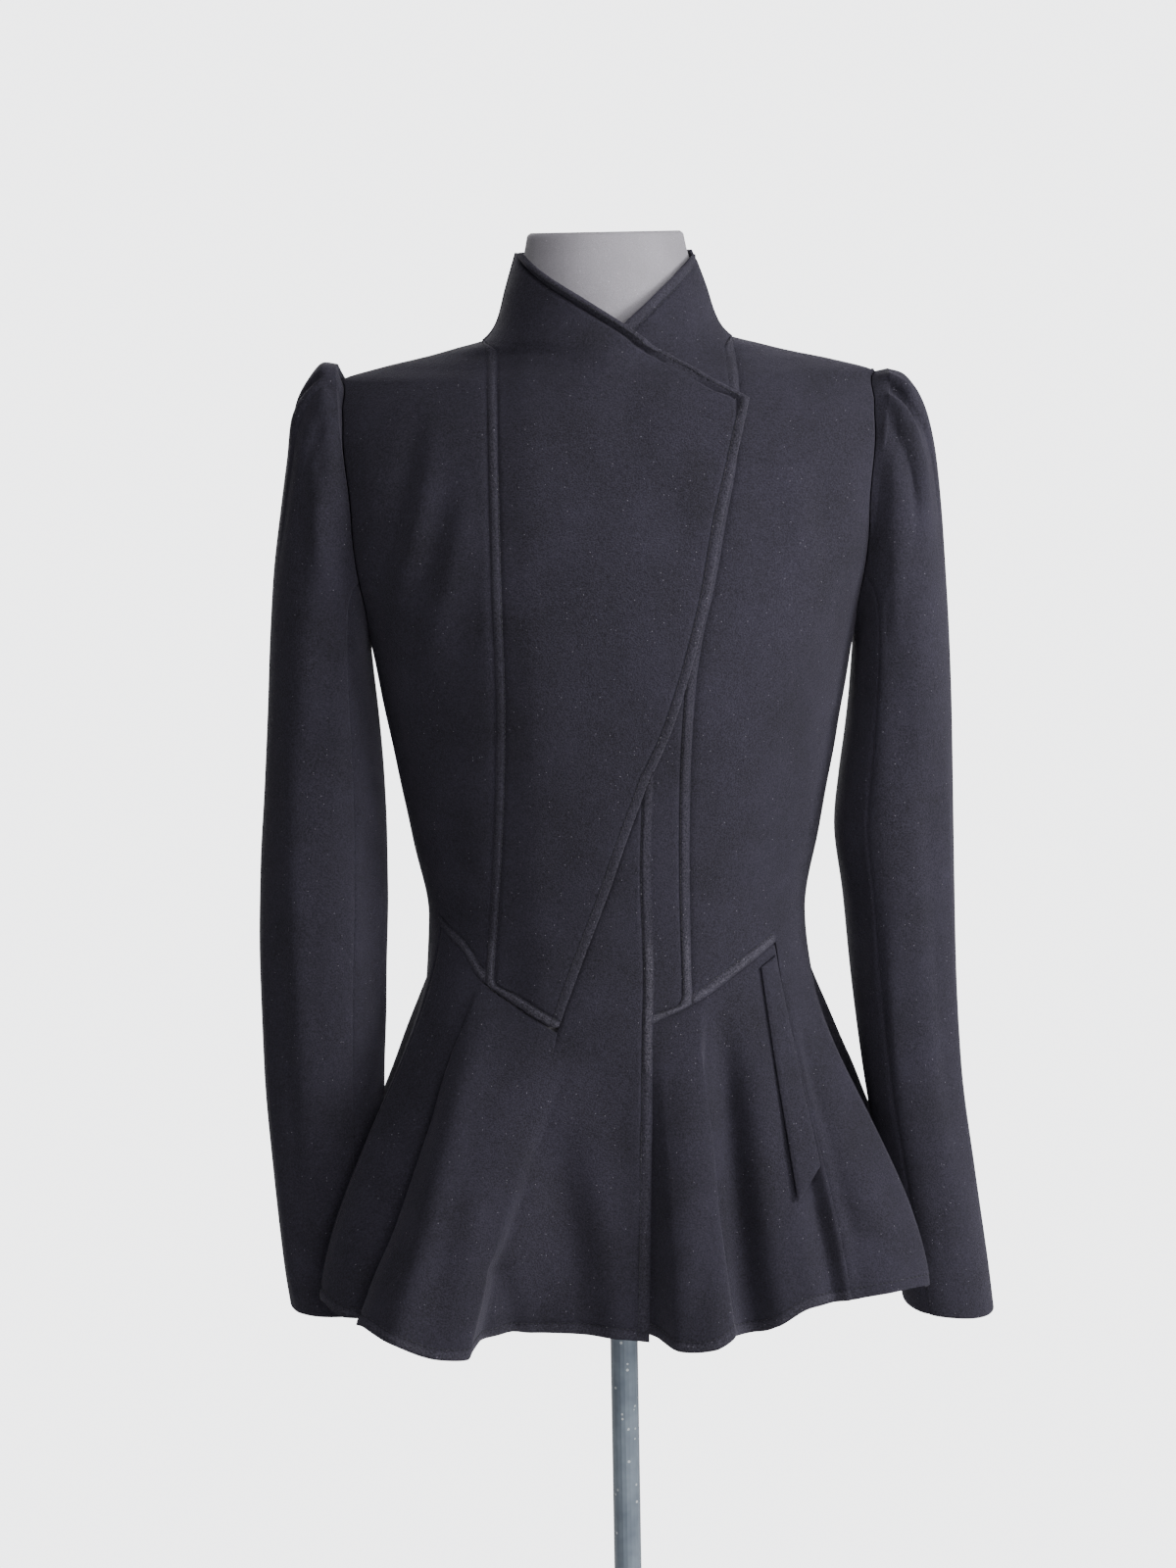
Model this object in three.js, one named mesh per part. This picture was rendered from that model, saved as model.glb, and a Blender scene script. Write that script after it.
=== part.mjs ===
// A women's wool peplum coat on a limbless dress form, which stands on a pole and a round base.
// Millimetres, +Z up, the coat's front faces -Y and the wearer's left is towards +X.
// Every cut piece of cloth is a closed wall: its outer points come from a section table of the
// bodice, from a table of hem points or from a table of sleeve rings, and its thickness goes inward.
import * as THREE from "three";

// ---------- driving sizes ----------
const CLOTH = 2.0; // thickness of the milled wool
const SEAM = 0.3; // space between two sewn edges
const LAP = 3.2; // how far the overlapping front stands off the one beneath
const FORM_INSET = { body: 3.5, shoulder: 6.5, blend: [1320, 1392] }; // from the coat's face in to the form

const NECK_TOP = 1480; // top of the dress form's neck
const SHOULDER_NECK = 1406.5; // where the shoulder meets the collar
const ARMHOLE = { middle: 1290.5, rise: 90.5, front: 52, back: 60, step: 20 };
const SIDE_WAIST = 1000; // height at which the sides and back begin to flare
const FORM_BOTTOM = 800;
const FORM_ARM_PLATE = 165; // half the distance between the form's flat arm ends

const POLE_RADIUS = 10;
const BASE = { radius: 165, edge: 7, top: 11, hubRadius: 24, hubTop: 62 };

const COLOUR = { wool: 0x17181c, jersey: 0x8e8d91, pole: 0x76808c, base: 0x3c4046 };

// ---------- tables ----------
// Rows of numbers under named columns.
const table = (columns, rows) => {
  const names = columns.split(" ");
  return rows.map((row) => Object.fromEntries(names.map((name, i) => [name, row[i]])));
};

// Coat sections: half width, depth to the front and to the back, and how round the corners are.
const SECTIONS = table("z half front back round", [
  [1470, 59, 54, 64, 2.0],
  [1443, 69, 63, 70, 2.0],
  [1419, 77, 69, 75, 2.0],
  [1406.5, 88, 73, 78, 1.95],
  [1403.5, 100, 74, 79, 1.7],
  [1397, 125, 77, 80, 1.4],
  [1390, 157, 80, 82, 1.35],
  [1381, 187, 84, 85, 1.5],
  [1360, 201, 91, 89, 1.85],
  [1335, 204, 99, 93, 2.05],
  [1290, 197, 112, 98, 2.15],
  [1250, 185, 123, 98, 2.25],
  [1215, 173, 127, 94, 2.25],
  [1157, 162, 119, 87, 2.2],
  [1113, 154, 109, 81, 2.15],
  [1058, 144, 98, 77, 2.1],
  [1003, 134, 92, 79, 2.1],
  [972, 138, 94, 85, 2.1],
  [930, 149, 100, 95, 2.1],
]);

// Princess seams of the front, top to bottom.
const PRINCESS_RIGHT = table("z x", [
  [1406.5, -87], [1396, -83], [1324, -82.5], [1245, -81.7], [1178, -80.5], [1111, -82.7], [1043, -87],
  [966, -93.5],
]);
const PRINCESS_LEFT = table("z x", [
  [1406.5, 87], [1375, 89], [1330, 86], [1290, 78], [1242, 68], [1215, 61], [1176, 55], [1109, 51],
  [1041, 50], [950, 51],
]);
// Free edge of the overlapping front: slanted collar, corner, slanted lapel, then the diagonal seam.
const LAP_EDGE = table("z x", [
  [1470, -60], [1451, -39], [1434, -13], [1418.7, 9.7], [1392.7, 45.3], [1378, 71.4], [1366, 94],
]);
const LAPEL_EDGE = table("z x", [
  [1366, 94], [1327, 84], [1287, 73.6], [1241, 64.4], [1188, 50.4], [1151, 38.6], [1120, 25.5],
]);
const DIAGONAL_SEAM = table("z x", [
  [1120, 24.5], [1071.6, 7], [1031, -7], [994, -21], [936, -43],
]);
// Free edge of the front beneath, whose lower stretch is covered.
const UNDER_EDGE = table("z x", [
  [1466, 63], [1457, 53.7], [1432.7, 26.9], [1418, 10], [1374, -40], [1200, -40], [1000, -22], [915, -16],
]);
// Front closing edge of the skirt's wedge, above the waist.
const CLOSING_EDGE = table("z x", [[1120, 26], [1046, 23], [978, 24], [936, 22.5]]);
// Waist seams, from the middle outward and upward.
const WAIST_RIGHT = table("x z", [[-125, 1000], [-108.4, 986], [-96, 968.5], [-68.8, 951], [-42, 936]]);
const WAIST_LEFT = table("x z", [[-16, 922], [25.3, 942], [55.7, 955.3], [82.8, 971.9], [110, 989]]);
// Princess seams of the back: distance from the centre back seam.
const BACK_PRINCESS = table("z x", [
  [1406.5, 86], [1380, 84], [1290, 84], [1200, 76], [1113, 64], [1000, 54],
]);

// Hems: how far across the piece, seen from outside, then the point, and the ease of the flare
// (0 runs straight from waist to hem, 1 hangs first and then flares).
// The right front starts beside the pocket seam, dips to the foot of its knife pleat at x -160, comes
// back to the pleat's fold at x -184 and then swells into a flute. The tuck beside the flute is the
// part of the hem's depth that dies out just above it.
const HEM_FRONT_RIGHT = table("across x y z ease tuck", [
  [0.0, -213.7, -88.3, 748, 0.7, 0],
  [0.05, -210, -98, 748, 0.6, 0],
  [0.113, -193, -116, 742, 0.4, 0],
  [0.178, -160, -125, 742, 0.1, 0],
  [0.202, -184, -138, 744, 0.0, 0],
  [0.283, -178, -160, 749, 0.0, 0],
  [0.381, -157, -176, 741, 0.1, 0],
  [0.469, -130, -180, 732, 0.2, 0],
  [0.54, -108, -172, 729, 0.3, 4],
  [0.575, -105, -152, 729, 0.4, 18],
  [0.628, -98, -131, 730, 0.4, 24],
  [0.717, -66, -127, 732, 0.3, 14],
  [0.859, -24, -140, 733, 0.2, 3],
  [0.947, 0, -149, 733, 0.1, 0],
  [1.0, 16, -152, 732, 0.0, 0],
]);
const TUCK_POWER = 6;
const HEM_FRONT_LEFT = table("across x y z ease", [
  [0.0, -18, -133, 737, 0.0],
  [0.16, 3, -135, 736, 0.0],
  [0.27, 20, -146, 734, 0.2],
  [0.36, 37, -174, 732, 0.2],
  [0.46, 60, -181, 735, 0.1],
  [0.53, 76, -170, 742, 0.0],
  [0.58, 77, -148, 738, -0.3],
  [0.63, 78, -126, 727, -0.4],
  [0.7, 90, -116, 725, -0.2],
  [0.8, 107, -118, 731, 0.0],
  [0.9, 130, -120, 744, 0.2],
  [1.0, 158, -114, 747, 0.3],
]);
const HEM_SIDE_RIGHT = table("across x y z ease", [
  [0.0, -160, 4, 744, 0.7],
  [0.3, -165, -40, 742, 0.8],
  [0.55, -188, -60, 744, 0.9],
  [0.78, -209, -73, 748, 0.8],
  [1.0, -214, -88, 748, 0.7],
]);
const HEM_SIDE_LEFT = table("across x y z ease", [
  [0.0, 158.3, -113.8, 747, 0.3],
  [0.2, 178, -108, 749, 0.5],
  [0.38, 197, -99.5, 750, 0.7],
  [0.5, 214, -84, 748, 0.8],
  [0.6, 213, -70, 742, 0.9],
  [0.76, 192, -52, 740, 0.9],
  [1.0, 183, 4, 742, 0.8],
]);
// The hems of the back are given on the wearer's left, and mirrored for the right.
const HEM_BACK_SIDE_RIGHT = table("across x y z ease", [
  [0.0, 160, 5, 744, 0.7],
  [0.25, 165, 50, 743, 0.5],
  [0.4, 208, 84, 741, 0.1],
  [0.54, 228, 106, 740, -0.3],
  [0.68, 202, 120, 740, -0.1],
  [0.81, 168, 119, 741, 0.3],
  [1.0, 132, 136, 742, 0.4],
]);
const HEM_BACK_SIDE_LEFT = table("across x y z ease", [
  [0.0, 174, 5, 743, 0.8],
  [0.22, 190, 48, 742, 0.5],
  [0.38, 226, 78, 741, 0.1],
  [0.52, 232, 102, 740, -0.1],
  [0.66, 205, 118, 740, 0.1],
  [0.8, 168, 118, 741, 0.4],
  [1.0, 132, 136, 742, 0.4],
]);
const HEM_BACK_CENTRE = table("across x y z ease", [
  [0.0, 132, 136, 742, 0.4],
  [0.22, 112, 170, 741, 0.2],
  [0.42, 76, 176, 740, 0.2],
  [0.58, 56, 154, 741, 0.4],
  [0.76, 36, 144, 742, 0.4],
  [1.0, 0, 166, 741, 0.2],
]);

// Sleeve rings from the armhole to the cuff: the outer point and the inner point in the X-Z plane,
// the depth to the front and to the back of the sleeve's middle, and that middle's place in Y.
const SLEEVE_RIGHT = table("outX outZ inX inZ front back midY", [
  [188, 1393, 170.2, 1199, 56, 62, 2],
  [197, 1394.5, 170.4, 1197, 60, 65, 2],
  [208.5, 1383, 170.3, 1193, 63, 67, 2],
  [218, 1364, 170, 1187, 65, 68, 2],
  [224, 1330, 169.3, 1180, 66, 68, 2],
  [230, 1292, 168.4, 1170, 66, 68, 2],
  [236, 1250, 166.8, 1154, 65, 67, 2],
  [240, 1204, 164.8, 1130, 64, 65, 1],
  [243.5, 1150, 163, 1098, 61, 62, 0],
  [247.5, 1096, 162.2, 1060, 59, 59, -1],
  [252, 1040, 162.5, 1018, 57, 57, -3],
  [254.6, 970, 165.5, 958, 55, 55, -4],
  [254, 895, 168.5, 888, 52, 53, -5],
  [249.5, 815, 171, 811, 49, 50, -6],
  [243.5, 745, 172.5, 743, 47, 48, -8],
  [240.5, 723, 173, 722, 46, 47, -9],
]);
const SLEEVE_LEFT = table("outX outZ inX inZ front back midY", [
  [195, 1383, 170.2, 1199, 56, 62, 2],
  [204, 1380.5, 170.4, 1197, 60, 65, 2],
  [213, 1371.5, 170.3, 1193, 63, 67, 2],
  [221, 1355, 170, 1187, 65, 68, 2],
  [227, 1328, 169.3, 1180, 66, 68, 2],
  [231, 1290, 168.4, 1170, 66, 68, 2],
  [234, 1245, 166.8, 1152, 65, 67, 2],
  [236.5, 1198, 163.5, 1126, 63, 65, 1],
  [238.2, 1145, 159, 1096, 61, 62, 0],
  [239, 1090, 155.5, 1060, 59, 59, -1],
  [239.6, 1030, 161, 1012, 57, 57, -3],
  [240.8, 962, 166.5, 952, 54, 55, -4],
  [244.5, 888, 175, 882, 51, 53, -5],
  [254, 812, 187, 808, 48, 50, -6],
  [263.5, 742, 198, 738, 46, 48, -8],
  [267.2, 710, 202, 716, 45, 47, -9],
]);
// Pleats of the sleeve caps: angle from the top towards the front, raise, and width of the slope.
const CAP_PLEATS = table("angle raise slope", [[28, -5, 7], [62, -2.5, 12], [-30, -3, 12]]);
const PLEAT_FADE = { ring: 2, rings: 4 }; // the ring where they stand highest, and how far they reach
const SLEEVE_SEAMS = { front: 120, back: -100 }; // angles of the two lengthwise seams
const SLEEVE_RADIUS = 50;
const CLEAR_OF_BODICE = { atArmhole: 0.9, below: 1.2 };

// Dress form below the coat's waist, and its neck.
const FORM_HIPS = table("z half front back", [
  [985, 127, 86, 74], [940, 130, 90, 82], [880, 135, 96, 92], [830, 138, 97, 95], [FORM_BOTTOM, 138, 95, 94],
]);
const FORM_NECK = table("z half front back", [
  [1413, 69, 57, 63], [1422, 68, 58, 64], [1436, 66, 57.5, 64], [1455, 60, 54, 60.5],
  [1466, 56.5, 51.5, 57.5], [NECK_TOP, 54, 50, 56],
]);
// The form's body follows the coat at these heights, from the shoulders down to the hips.
const FORM_HEIGHTS = [
  1404, 1399, 1394, 1387, 1379, 1366, 1345, 1318, 1290, 1255, 1225, 1200, 1175, 1140, 1100, 1060, 1020,
];
const FORM_COLUMNS = 28;

// ---------- curves ----------
// A smooth curve through a table's rows that never swings past them (monotone cubic).
function along(rows, key, value, at) {
  const sign = Math.sign(rows[1][key] - rows[0][key]);
  const last = rows.length - 2;
  let i = 0;
  while (i < last && sign * (at - rows[i + 1][key]) > 0) i++;
  const slope = (k) => (rows[k + 1][value] - rows[k][value]) / (rows[k + 1][key] - rows[k][key]);
  const tangent = (k) => {
    if (k === 0) return slope(0);
    if (k === rows.length - 1) return slope(k - 1);
    const [before, after] = [slope(k - 1), slope(k)];
    return before * after <= 0 ? 0 : (2 * before * after) / (before + after);
  };
  const span = rows[i + 1][key] - rows[i][key];
  const t = THREE.MathUtils.clamp((at - rows[i][key]) / span, 0, 1);
  const [t2, t3] = [t * t, t * t * t];
  return (
    (2 * t3 - 3 * t2 + 1) * rows[i][value] + (t3 - 2 * t2 + t) * span * tangent(i) +
    (3 * t2 - 2 * t3) * rows[i + 1][value] + (t3 - t2) * span * tangent(i + 1)
  );
}

const radians = THREE.MathUtils.degToRad;
const { smoothstep, lerp } = THREE.MathUtils;
const steps = (count) => Array.from({ length: count + 1 }, (_, i) => i / count);

// ---------- the bodice's surface ----------
const section = (z) => ({
  half: along(SECTIONS, "z", "half", z),
  front: along(SECTIONS, "z", "front", z),
  back: along(SECTIONS, "z", "back", z),
  round: along(SECTIONS, "z", "round", z),
});

// The point at a height and an angle: 0 is the centre front, +90 the wearer's left, 180 the back.
function onBodice(z, angle) {
  const { half, front, back, round } = section(z);
  const [s, c] = [Math.sin(radians(angle)), Math.cos(radians(angle))];
  const depth = c > 0 ? front : back;
  return new THREE.Vector3(
    half * Math.sign(s) * Math.abs(s) ** (2 / round),
    -depth * Math.sign(c) * Math.abs(c) ** (2 / round),
    z,
  );
}

// The angle at which the front (or the back) of a section passes a distance x from the middle.
function angleAtX(z, x, behind = false) {
  const { half, round } = section(z);
  const angle = THREE.MathUtils.radToDeg(Math.asin(Math.min(1, Math.abs(x) / half) ** (round / 2)));
  return Math.sign(x) * (behind ? 180 - angle : angle);
}

// The angle at which a section passes a depth y, on the wearer's left.
function angleAtY(z, y) {
  const { front, back, round } = section(z);
  const share = Math.abs(y) / (y < 0 ? front : back);
  const angle = THREE.MathUtils.radToDeg(Math.acos(Math.min(1, share) ** (round / 2)));
  return y < 0 ? angle : 180 - angle;
}

// The direction straight out of the bodice, kept off the very corner of a section.
function outOfBodice(z, angle) {
  const corner = 90 * Math.round(angle / 90);
  const span = 3;
  if (Math.abs(angle - corner) > span) return slopeOfBodice(z, angle);
  return slopeOfBodice(z, corner - span).add(slopeOfBodice(z, corner + span)).normalize();
}

function slopeOfBodice(z, angle) {
  const [turn, climb] = [1.5, 1];
  const aside = onBodice(z, angle + turn).sub(onBodice(z, angle - turn));
  const down = onBodice(z - climb, angle).sub(onBodice(z + climb, angle));
  return down.cross(aside).normalize();
}

// ---------- cloth ----------
// One cut piece from patches of outer points, rows from the top down and each row from left to
// right as seen from outside. Points shared by two patches are sewn. A point may say which way is
// out, and otherwise that is the mean of the faces round it.
function clothWall(patches, thickness = CLOTH) {
  const points = [];
  const outward = [];
  const known = new Map();
  const place = ({ at, out }) => {
    const name = [at.x, at.y, at.z].map((value) => value.toFixed(2)).join();
    if (!known.has(name)) {
      known.set(name, points.length);
      points.push(at);
      outward.push(out ?? null);
    }
    return known.get(name);
  };
  const faces = [];
  for (const patch of patches) {
    const net = patch.map((row) => row.map(place));
    for (let i = 0; i + 1 < net.length; i++) {
      for (let j = 0; j + 1 < net[i].length; j++) {
        const [a, b, c, d] = [net[i][j], net[i][j + 1], net[i + 1][j + 1], net[i + 1][j]];
        for (const face of [[a, d, b], [b, d, c]]) {
          if (new Set(face).size === 3) faces.push(face);
        }
      }
    }
  }
  const mean = points.map(() => new THREE.Vector3());
  for (const [a, b, c] of faces) {
    const normal = points[b].clone().sub(points[a]).cross(points[c].clone().sub(points[a]));
    [a, b, c].forEach((k) => mean[k].add(normal));
  }
  const inner = points.map((p, k) =>
    p.clone().addScaledVector((outward[k] ?? mean[k]).clone().normalize(), -thickness));
  const half = points.length;
  const index = faces.flatMap(([a, b, c]) => [a, b, c, a + half, c + half, b + half]);
  const edges = new Set(faces.flatMap(([a, b, c]) => [`${a},${b}`, `${b},${c}`, `${c},${a}`]));
  for (const edge of edges) {
    const [a, b] = edge.split(",").map(Number);
    if (!edges.has(`${b},${a}`)) index.push(b, a, a + half, b, a + half, b + half);
  }
  const geometry = new THREE.BufferGeometry().setFromPoints([...points, ...inner]);
  return geometry.setIndex(index);
}

// A patch of the bodice between two edges, which give an angle for each height.
function bodicePatch(heights, leftEdge, rightEdge, shares, lift = () => 0) {
  return heights.map((z) => {
    const [left, right] = [leftEdge(z), rightEdge(z)];
    return shares.map((share) => bodiceVertex(z, lerp(left, right, share), lift));
  });
}

function bodiceVertex(z, angle, lift = () => 0) {
  const at = onBodice(z, angle);
  const out = outOfBodice(z, angle);
  return { at: at.addScaledVector(out, lift(at)), out };
}

// Rows between a patch's last row of equal height and a bottom row that follows a seam.
function rowsTo(topRow, bottomRow, count, angleAt) {
  return steps(count).slice(1).map((t) =>
    topRow.map((top, j) => {
      const z = lerp(top.at.z, bottomRow[j].at.z, t);
      return t === 1 ? bottomRow[j] : bodiceVertex(z, angleAt(z, j));
    }));
}

// The flared skirt below a waist line: each point runs from its waist point to its hem point.
function skirtPoint(waist, hem, across, down) {
  const ease = along(hem, "across", "ease", across);
  const flare = lerp(down, smoothstep(down, 0, 1), ease);
  const tuck = "tuck" in hem[0] ? along(hem, "across", "tuck", across) : 0;
  return new THREE.Vector3(
    lerp(waist.x, along(hem, "across", "x", across), flare),
    lerp(waist.y, along(hem, "across", "y", across) - tuck, flare) + tuck * down ** TUCK_POWER,
    lerp(waist.z, along(hem, "across", "z", across), down),
  );
}

// Straight out of an upright oval: both sides of an upright seam share it.
const outOfOval = (p) => new THREE.Vector3(p.x / 1.6, p.y, 0).normalize();

function skirtPatch(waistRow, shares, hem, rows) {
  const last = shares.length - 1;
  return steps(rows).map((down, i) =>
    waistRow.map((waist, j) => {
      const at = skirtPoint(waist.at, hem, shares[j], down);
      const onSeam = j === 0 || j === last;
      return { at, out: i === 0 ? waist.out : onSeam ? outOfOval(at) : null };
    }));
}

// ---------- edges of the pieces, as angles ----------
const gap = (z, side) => (side * THREE.MathUtils.radToDeg(SEAM / 2)) / section(z).half;
const edgeX = (rows, side, behind = false) => (z) =>
  angleAtX(z, along(rows, "z", "x", z) + side * (SEAM / 2), behind);

// The armhole, as the depth at which each height meets it, in front of or behind the shoulder.
function armholeDepth(z, reach) {
  const rise = (z - ARMHOLE.middle) / ARMHOLE.rise;
  return Math.abs(rise) >= 1 ? 0 : reach * Math.sqrt(1 - rise * rise);
}
const sideEdgeFront = (z) => angleAtY(z, -armholeDepth(z, ARMHOLE.front) - SEAM / 2);
const sideEdgeBack = (z) => angleAtY(z, armholeDepth(z, ARMHOLE.back) + SEAM / 2);

const armholeTurns = steps(180 / ARMHOLE.step).map((share) => 180 * share);
const armholeHeights = armholeTurns.map((turn) => ARMHOLE.middle + ARMHOLE.rise * Math.cos(radians(turn)));
const CORNER = { lapel: 1366, diagonal: 1120 };
// Every piece of the bodice has its points at these heights, so that sewn edges match.
const bodiceHeights = [
  1403.9, 1397, 1389.5, ...armholeHeights, CORNER.lapel, 1175, 1147, CORNER.diagonal, 1082, 1045,
].sort((a, b) => b - a);
const collarHeights = [1466, 1454, 1442, 1430, 1418, SHOULDER_NECK];
const PATCH_COLUMNS = 8;

// ---------- fronts ----------
// The overlapping front stands off the front beneath it, and meets its own side at the princess seam.
const lapLift = (p) => LAP * smoothstep(p.x, -78, -50);

// Where a slanted waist seam passes a height.
function heightToX(rows, z) {
  const sorted = [...rows].sort((a, b) => b.z - a.z);
  return along(sorted, "z", "x", z);
}

// The height at which a princess seam meets the waist seam.
const waistAtPrincess = (waist, princess) => along(waist, "x", "z", princess.at(-1).x);

function frontCentreRight() {
  const left = (z) => {
    if (z > SHOULDER_NECK) return -90 + gap(z, 1);
    const onWaist = z < waistAtPrincess(WAIST_RIGHT, PRINCESS_RIGHT);
    return onWaist ? angleAtX(z, heightToX(WAIST_RIGHT, z) + SEAM) : edgeX(PRINCESS_RIGHT, 1)(z);
  };
  const right = (z) => {
    if (z > CORNER.lapel) return edgeX(LAP_EDGE, 0)(z);
    return z > CORNER.diagonal ? edgeX(LAPEL_EDGE, 0)(z) : edgeX(DIAGONAL_SEAM, -1)(z);
  };
  const heights = [...collarHeights, ...bodiceHeights, 1006, 967, 955, 940];
  return clothWall([bodicePatch(heights, left, right, steps(PATCH_COLUMNS), lapLift)]);
}

function frontCentreLeft() {
  const left = edgeX(UNDER_EDGE, 0);
  const right = (z) => {
    if (z > SHOULDER_NECK) return 90 - gap(z, 1);
    const onWaist = z < waistAtPrincess(WAIST_LEFT, PRINCESS_LEFT);
    return onWaist ? angleAtX(z, heightToX(WAIST_LEFT, z) - SEAM) : edgeX(PRINCESS_LEFT, -1)(z);
  };
  const heights = [1463, ...collarHeights.slice(1), ...bodiceHeights, 999, 953, 938, 925];
  return clothWall([bodicePatch(heights, left, right, steps(PATCH_COLUMNS))]);
}

// ---------- sides of the front, cut in one from shoulder to hem ----------
// The bodice part ends at the waist seam as far as the pocket seam, and runs on into the skirt
// beyond it. Seen from outside, the wearer's left side runs from the princess seam to the side seam.
const SIDE_SKIRT_COLUMNS = 8;
const SKIRT_ROWS = { side: 8, front: 9 };
const POCKET_X = { right: -125, left: 110 }; // where the pocket seams leave the waist seam
// Columns of points along the waist seam, between the princess seam and the pocket seam.
const SEAM_COLUMNS_X = { right: [-98.5, -108, -118], left: [71, 90.5] };
const LOW_BODICE = 960; // a height near the foot of the bodice

function frontSide(wearersLeft) {
  const side = wearersLeft ? 1 : -1;
  const waist = wearersLeft ? WAIST_LEFT : WAIST_RIGHT;
  const word = wearersLeft ? "left" : "right";
  const princess = wearersLeft ? PRINCESS_LEFT : PRINCESS_RIGHT;
  const princessFoot = along(princess, "z", "x", LOW_BODICE) + side * (SEAM / 2);
  const inner = (z) => edgeX(princess, side)(Math.min(z, SHOULDER_NECK - 1));
  const outer = (z) => side * sideEdgeFront(z);
  const waistVertex = (x) => {
    const z = along(waist, "x", "z", x) + SEAM / 2;
    return bodiceVertex(z, angleAtX(z, x));
  };
  const pocket = waistVertex(POCKET_X[word] + side * (SEAM / 2));
  const pocketAngle = angleAtX(pocket.at.z, pocket.at.x);
  const beyond = steps(SIDE_SKIRT_COLUMNS).map((share) => {
    const z = lerp(pocket.at.z, SIDE_WAIST, smoothstep(share, 0, 1));
    return bodiceVertex(z, lerp(pocketAngle, outer(SIDE_WAIST), share));
  });
  const before = [princessFoot, ...SEAM_COLUMNS_X[word]].map(waistVertex);
  const bottom = [...before, ...beyond];
  const [from, to] = [inner(LOW_BODICE), outer(LOW_BODICE)];
  const fraction = (pocketAngle - from) / (to - from);
  const shares = [
    ...before.map((vertex, j) => (fraction * j) / before.length),
    ...steps(SIDE_SKIRT_COLUMNS).map((share) => lerp(fraction, 1, share)),
  ];
  let bodice = bodicePatch(bodiceHeights, inner, outer, shares);
  const angleAt = (z, j) => lerp(inner(z), outer(z), shares[j]);
  bodice = [...bodice, ...rowsTo(bodice.at(-1), bottom, 2, angleAt)];
  const hem = wearersLeft ? HEM_SIDE_LEFT : HEM_SIDE_RIGHT;
  const across = steps(SIDE_SKIRT_COLUMNS).map((share) => (wearersLeft ? share : 1 - share));
  let skirt = skirtPatch(beyond, across, hem, SKIRT_ROWS.side);
  if (!wearersLeft) [bodice, skirt] = [bodice, skirt].map((patch) => patch.map((row) => [...row].reverse()));
  return clothWall([bodice, skirt]);
}

// ---------- back pieces, cut in one from shoulder to hem ----------
const backHeights = [...bodiceHeights, SIDE_WAIST + 22, SIDE_WAIST];
const BACK_NECK = 1406.2;

function backPiece(wearersLeft, centre) {
  const princess = (side) => (z) => angleAtX(z, along(BACK_PRINCESS, "z", "x", z) + side * (SEAM / 2), true);
  const inner = centre ? princess(-1) : sideEdgeBack;
  const outer = centre ? (z) => angleAtX(z, SEAM / 2, true) : princess(1);
  const across = steps(PATCH_COLUMNS);
  const heights = centre ? [BACK_NECK, ...backHeights] : backHeights;
  const bodice = bodicePatch(heights, inner, outer, across);
  const sideHem = wearersLeft ? HEM_BACK_SIDE_LEFT : HEM_BACK_SIDE_RIGHT;
  const skirt = skirtPatch(bodice.at(-1), across, centre ? HEM_BACK_CENTRE : sideHem, SKIRT_ROWS.side);
  if (centre) skirt.forEach(keepToItsSide);
  const patches = [bodice, skirt];
  return clothWall(wearersLeft ? patches : patches.map(mirrorPatch));
}

// Keeps a row's last point half a seam from the middle of the back.
function keepToItsSide(row) {
  const { at } = row.at(-1);
  at.x = Math.max(at.x, SEAM / 2);
}

function mirrorPatch(patch) {
  const flip = (v) => (v ? new THREE.Vector3(-v.x, v.y, v.z) : null);
  return patch.map((row) => row.map(({ at, out }) => ({ at: flip(at), out: flip(out) })).reverse());
}

const COLLAR_COLUMNS = 12;

function collarBack() {
  const heights = [1467, 1452, 1437, 1422, SHOULDER_NECK + SEAM];
  return clothWall([
    bodicePatch(heights, (z) => 90 + gap(z, 1), (z) => 270 - gap(z, 1), steps(COLLAR_COLUMNS)),
  ]);
}

// ---------- front skirt pieces ----------
// The right one carries a wedge that tapers up between the diagonal seam and the closing edge.
const PLEAT_X = -95; // where the knife pleat's fold leaves the waist seam
const BEFORE_PLEAT = [POCKET_X.right + SEAM, ...[...SEAM_COLUMNS_X.right].reverse()];
const WEDGE = { heights: [1119, 1090, 1060, 1030, 1000, 968, 937], tipWidth: 0.75, columns: 5 };

function skirtFrontRight() {
  const leftEdge = (z) => {
    if (z < WEDGE.heights[0]) return edgeX(DIAGONAL_SEAM, 1)(z);
    return angleAtX(z, along(CLOSING_EDGE, "z", "x", z) - WEDGE.tipWidth);
  };
  const wedge = bodicePatch(WEDGE.heights, leftEdge, edgeX(CLOSING_EDGE, 0), steps(WEDGE.columns), lapLift);
  const tipX = wedge.at(-1)[0].at.x;
  const leftX = BEFORE_PLEAT[0];
  const fromPleat = steps(7).slice(0, -1).map((share) => lerp(PLEAT_X, tipX, share));
  const seam = [...BEFORE_PLEAT, ...fromPleat].map((x) => {
    const z = along(WAIST_RIGHT, "x", "z", x) - SEAM;
    return bodiceVertex(z, angleAtX(z, x), lapLift);
  });
  const waistRow = [...seam, ...wedge.at(-1)];
  const rightX = waistRow.at(-1).at.x;
  const shares = waistRow.map(({ at }) => (at.x - leftX) / (rightX - leftX));
  return clothWall([wedge, skirtPatch(waistRow, shares, HEM_FRONT_RIGHT, SKIRT_ROWS.front)]);
}

const FRONT_LEFT_COLUMNS = 16;
const FRONT_LEFT_SPAN = { from: WAIST_LEFT[0].x, to: WAIST_LEFT.at(-1).x - SEAM };

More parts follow.
